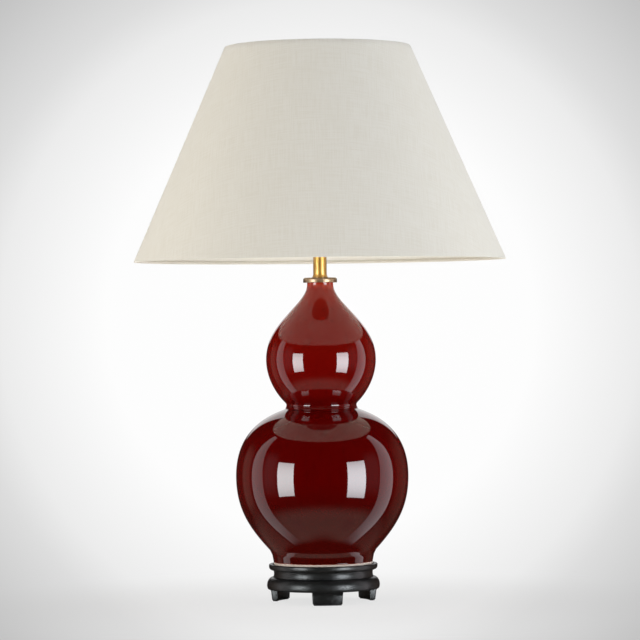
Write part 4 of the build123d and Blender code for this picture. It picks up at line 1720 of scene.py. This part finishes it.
@dataclass
class Studio:
    """Camera, floor, world, lamps, and the cards that only reflections see.

    A light is its name, its degrees round the lamp from the camera's side, its height,
    distance and sides in metres, its watts and its tint.
    """

    eye: tuple[float, float, float] = (-0.75, -4800.0, 423.4)
    focal: float = 179.4
    sensor: float = 36.0
    roll: float = 0.65
    card_radius: float = 2300.0
    card_level: float = 250.0
    table_near: Point = (104.0, 124.0)
    shadow_reach: Point = (0.6, 0.2)
    shadow_share: float = 0.2
    floor_radius: float = 60.0
    floor_tone: str = "E8E7E4"
    floor_shaded: str = "2A2624"
    ambient: float = 0.3
    ambient_tint: str = "F4F4F6"
    glow: Stops = ((0.0, "FEFEFE"), (0.335, "FDFDFD"), (0.455, "F1F1F1"), (0.5, "ECECEC"),
                   (0.56, "DDDDDD"), (0.7, "C4C4C4"), (0.86, "CFCFCF"))
    lights: tuple[tuple, ...] = (
        ("key_left", -50, 0.25, 2.2, 1.4, 25.0, "FFF8EC"),
        ("key_right", 48, 0.25, 2.2, 1.4, 25.0, "FEFEFF"),
        ("side_left", -98, 0.5, 2.2, 1.6, 15.0, "FFF6E8"),
        ("side_right", 98, 0.5, 2.2, 1.6, 16.0, "FFFFFF"),
        ("behind", 180, 1.5, 2.4, 1.6, 11.0, "FFFFFF"),
        ("overhead", 0, 2.6, 0.3, 1.8, 8.0, "FFFFFF"),
        ("floor_bounce", 0, 0.004, 0.0, 1.1, 3.9, "FFFBF0"))
    cards: tuple[Card, ...] = (
        Card("softbox_left", -60.5, -37.5, -20.0, 15.5, 13.5, edge=0.66, tint="F3FAFC"),
        Card("softbox_right", 33.0, 58.5, -22.5, 17.0, 15.2, edge=0.58, tint="F0F7FC"),
        Card("panel_left", -105.5, -84.0, -74.0, 47.0, 1.25, lean=-0.12, foot=0.24,
             narrow=(1.0, -11.0), tint="FFF9FA"),
        Card("panel_right", 80.5, 106.0, -74.0, 47.0, 1.55, lean=0.28, foot=0.24,
             narrow=(13.0, -1.0), tint="FFF7FC"),
        Card("spill_left", -134.0, -106.0, -32.0, 26.0, 0.26, soft=(0.3, 0.3), reach=1.05,
             tint="FFDCC8"),
        Card("spill_right", 108.0, 152.0, -44.0, 30.0, 0.13, soft=(0.3, 0.3), reach=1.05,
             tint="FFD8C0"),
        Card("haze_left", -88.0, -58.0, -24.0, 32.0, 0.22, soft=(0.35, 0.35), reach=1.06),
        Card("haze_right", 54.0, 86.0, -24.0, 32.0, 0.18, soft=(0.35, 0.35), reach=1.06),
        Card("pool_left", -72.0, -34.0, -68.0, -44.0, 0.4, soft=(0.45, 0.45), reach=0.98,
             tint="FFF6EA"),
        Card("pool_right", 34.0, 74.0, -68.0, -44.0, 0.35, soft=(0.45, 0.45), reach=0.98,
             tint="FFF6EA"),
        Card("table_front", -112.0, 112.0, -84.0, -30.0, 0.44, soft=(0.2, 0.3), reach=1.05,
             tint="FFF3E0"),
        Card("table_left", -168.0, -104.0, -84.0, -22.0, 0.2, soft=(0.14, 0.2), reach=1.08,
             tint="FFE4D2"),
        Card("table_right", 104.0, 168.0, -84.0, -30.0, 0.18, soft=(0.14, 0.2), reach=1.08,
             tint="FFE4D2"),
        Card("flag_front", -34.0, 30.0, -30.0, 52.0, 0.0, reach=1.1),
        Card("back_white", 158.0, 202.0, 8.5, 62.0, 1.15, reach=1.15),
        Card("flag_low", -167.0, 167.0, -84.0, 9.0, 0.03, reach=1.2, tint="FFC8B4"),
        Card("flag_high", -159.0, 159.0, 8.0, 62.0, 0.012, reach=1.21, tint="FFC8B4"),
    )
    ceiling: Card = Card("ceiling", -180.0, 180.0, 0.0, 1.0, 0.06, tint="FFE0D0")
    ceiling_radius: float = 3400.0
    ceiling_level: float = 4600.0

    def build(self) -> None:
        """Set the camera first, then what stands round the lamp."""
        self.camera()
        self.world()
        self.floor()
        for light in self.lights:
            self.lamp(*light)
        for card in self.cards:
            card.build(self.card_radius * MM, self.card_level * MM)
        roof = put(self.ceiling.name, self.disc(
            self.ceiling.name, self.ceiling_radius * MM, self.ceiling_level * MM, 48,
            material_of(self.ceiling.name, self.ceiling.dress)))
        only_reflected(roof)
        bpy.context.scene.view_settings.view_transform = "Standard"

    def camera(self) -> None:
        """Look level along +Y at half the lamp's height, with the photograph's slight roll."""
        data = bpy.data.cameras.new("camera")
        data.sensor_width = self.sensor
        data.lens = self.focal
        data.clip_end = 200.0
        camera = put("camera", data)
        level = Matrix.Rotation(math.radians(90), 4, "X")
        rolled = Matrix.Rotation(math.radians(self.roll), 4, "Y") @ level
        camera.matrix_world = Matrix.Translation(Vector(self.eye) * MM) @ rolled
        bpy.context.scene.camera = camera

    def backdrop(self, tree: Tree, direction: Socket | Node) -> Node:
        """Add the backdrop's colour, white ahead and greyer away from the lamp.

        Args:
            tree: the shader tree.
            direction: where each point is seen from the eye.

        Returns:
            The colour.
        """
        ahead = add(tree, "ShaderNodeSeparateXYZ", [direction]).outputs["Y"]
        ahead = add(tree, "ShaderNodeMath", (ahead, 1e-4), operation="MAXIMUM")
        aside = add(tree, "ShaderNodeVectorMath", (direction, (1, 0, 1)), operation="MULTIPLY")
        aside = add(tree, "ShaderNodeVectorMath", [aside], operation="LENGTH")
        away = add(tree, "ShaderNodeMath", (aside, ahead), operation="DIVIDE")
        share = add(tree, "ShaderNodeMath", (away, self.focal / self.sensor),
                    operation="MULTIPLY", use_clamp=True)
        return add(tree, "ShaderNodeValToRGB", [share], self.glow)

    def world(self) -> None:
        """White backdrop for the eye and for reflections, and a plain level for the rest."""
        world = bpy.data.worlds.new("studio")
        bpy.context.scene.world = world
        world.use_nodes = True
        tree = world.node_tree
        tree.nodes.clear()
        direction = add(tree, "ShaderNodeTexCoord").outputs["Generated"]
        seen = add(tree, "ShaderNodeBackground", {"Color": self.backdrop(tree, direction)})
        ambient = add(tree, "ShaderNodeBackground", {
            "Color": self.ambient_tint, "Strength": self.ambient})
        rays = add(tree, "ShaderNodeLightPath").outputs
        bright = rays["Is Camera Ray"]
        for kind in ("Is Glossy Ray", "Is Transmission Ray"):
            bright = add(tree, "ShaderNodeMath", (bright, rays[kind]), operation="MAXIMUM")
        add(tree, "ShaderNodeOutputWorld", [
            add(tree, "ShaderNodeMixShader", (bright, ambient, seen))])

    @staticmethod
    def disc(name: str, radius: float, level: float, sides: int,
             material: bpy.types.Material) -> bpy.types.Mesh:
        """Make a level disc.

        Args:
            name: its name.
            radius: its radius in metres.
            level: its height in metres.
            sides: how many sides it has.
            material: its material.

        Returns:
            The disc.
        """
        work = bmesh.new()
        bmesh.ops.create_circle(work, cap_ends=True, segments=sides, radius=radius,
                                matrix=Matrix.Translation((0, 0, level)))
        mesh = mesh_of(work, name)
        mesh.materials.append(material)
        return mesh

    def floor(self) -> None:
        """Lay the pale floor."""
        put("floor", self.disc("floor", self.floor_radius, 0.0, 96,
                                        material_of("pale_floor", self.floor_dress)))

    def floor_dress(self, tree: Tree) -> Node:
        """Make the floor as bright as the backdrop to the eye, with the lamp's shadow.

        Reflections see only the shaded ring of it beside the stand. The table cards carry it
        on from there, dimmer and softer, as it shows in the glaze.

        Args:
            tree: the shader tree.

        Returns:
            The shader.
        """
        spot = add(tree, "ShaderNodeTexCoord").outputs["Object"]
        sight = add(tree, "ShaderNodeVectorMath", (spot, Vector(self.eye) * MM),
                    operation="SUBTRACT")
        colour = self.backdrop(tree, sight)
        reach = add(tree, "ShaderNodeVectorMath", [spot], operation="LENGTH")
        shadow = add(tree, "ShaderNodeMapRange", {
            "Value": reach, "From Min": self.shadow_reach[0], "From Max": self.shadow_reach[1],
            "To Max": self.shadow_share}, **SMOOTH)
        seen = add(tree, "ShaderNodeMixShader", (
            shadow, add(tree, "ShaderNodeEmission", [colour]),
            add(tree, "ShaderNodeBsdfDiffuse", [colour])))
        rays = add(tree, "ShaderNodeLightPath").outputs
        shaded = add(tree, "ShaderNodeMix", {
            "Factor": rays["Is Glossy Ray"], "A": self.floor_tone, "B": self.floor_shaded},
            data_type="RGBA")
        plain = add(tree, "ShaderNodeBsdfDiffuse", [shaded])
        by_eye = add(tree, "ShaderNodeMixShader", (rays["Is Camera Ray"], plain, seen))
        near, far = self.table_near
        beyond = add(tree, "ShaderNodeMapRange", {
            "Value": reach, "From Min": near * MM, "From Max": far * MM}, **SMOOTH)
        gone = add(tree, "ShaderNodeMath", (beyond, rays["Is Glossy Ray"]), operation="MULTIPLY")
        below = add(tree, "ShaderNodeNewGeometry").outputs["Backfacing"]
        gone = add(tree, "ShaderNodeMath", (below, gone), operation="MAXIMUM")
        clear = add(tree, "ShaderNodeBsdfTransparent")
        return add(tree, "ShaderNodeMixShader", (gone, by_eye, clear))

    def lamp(self, name: str, azimuth: float, level: float, away: float, size: float,
             power: float, tint: str) -> None:
        """Place one large square lamp that reflections don't see, aimed at the lamp's middle.

        Args:
            name: the light's name.
            azimuth: its degrees round the lamp, from the camera's side.
            level: its height in metres.
            away: its distance in metres.
            size: the length of its sides in metres.
            power: its watts.
            tint: its hex colour.
        """
        data = bpy.data.lights.new(name, "AREA")
        data.size = size
        data.energy = power
        data.color = hex_colour(tint)[:3]
        lamp = put(name, data)
        angle = math.radians(azimuth)
        place = Vector((away * math.sin(angle), -away * math.cos(angle), level))
        aim = Vector((0, 0, self.eye[2] * MM))
        lamp.matrix_world = (Matrix.Translation(place)
                             @ (place - aim).to_track_quat("Z", "Y").to_matrix().to_4x4())
        lamp.visible_glossy = False
        lamp.visible_camera = False


# ------------------------------------------------------------------ main


def main() -> None:
    """Load the frame, set the studio and dress each sub-assembly in order."""
    logging.basicConfig(level=logging.INFO, format="%(name)s: %(message)s")
    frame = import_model()
    Studio().build()
    bench = Bench(frame)
    for part in (Stand, Gourd, Stem, RodStack, Lampholder, Bulb, Harp, Shade, Finial):
        part(bench).build()


if __name__ == "__main__":
    main()
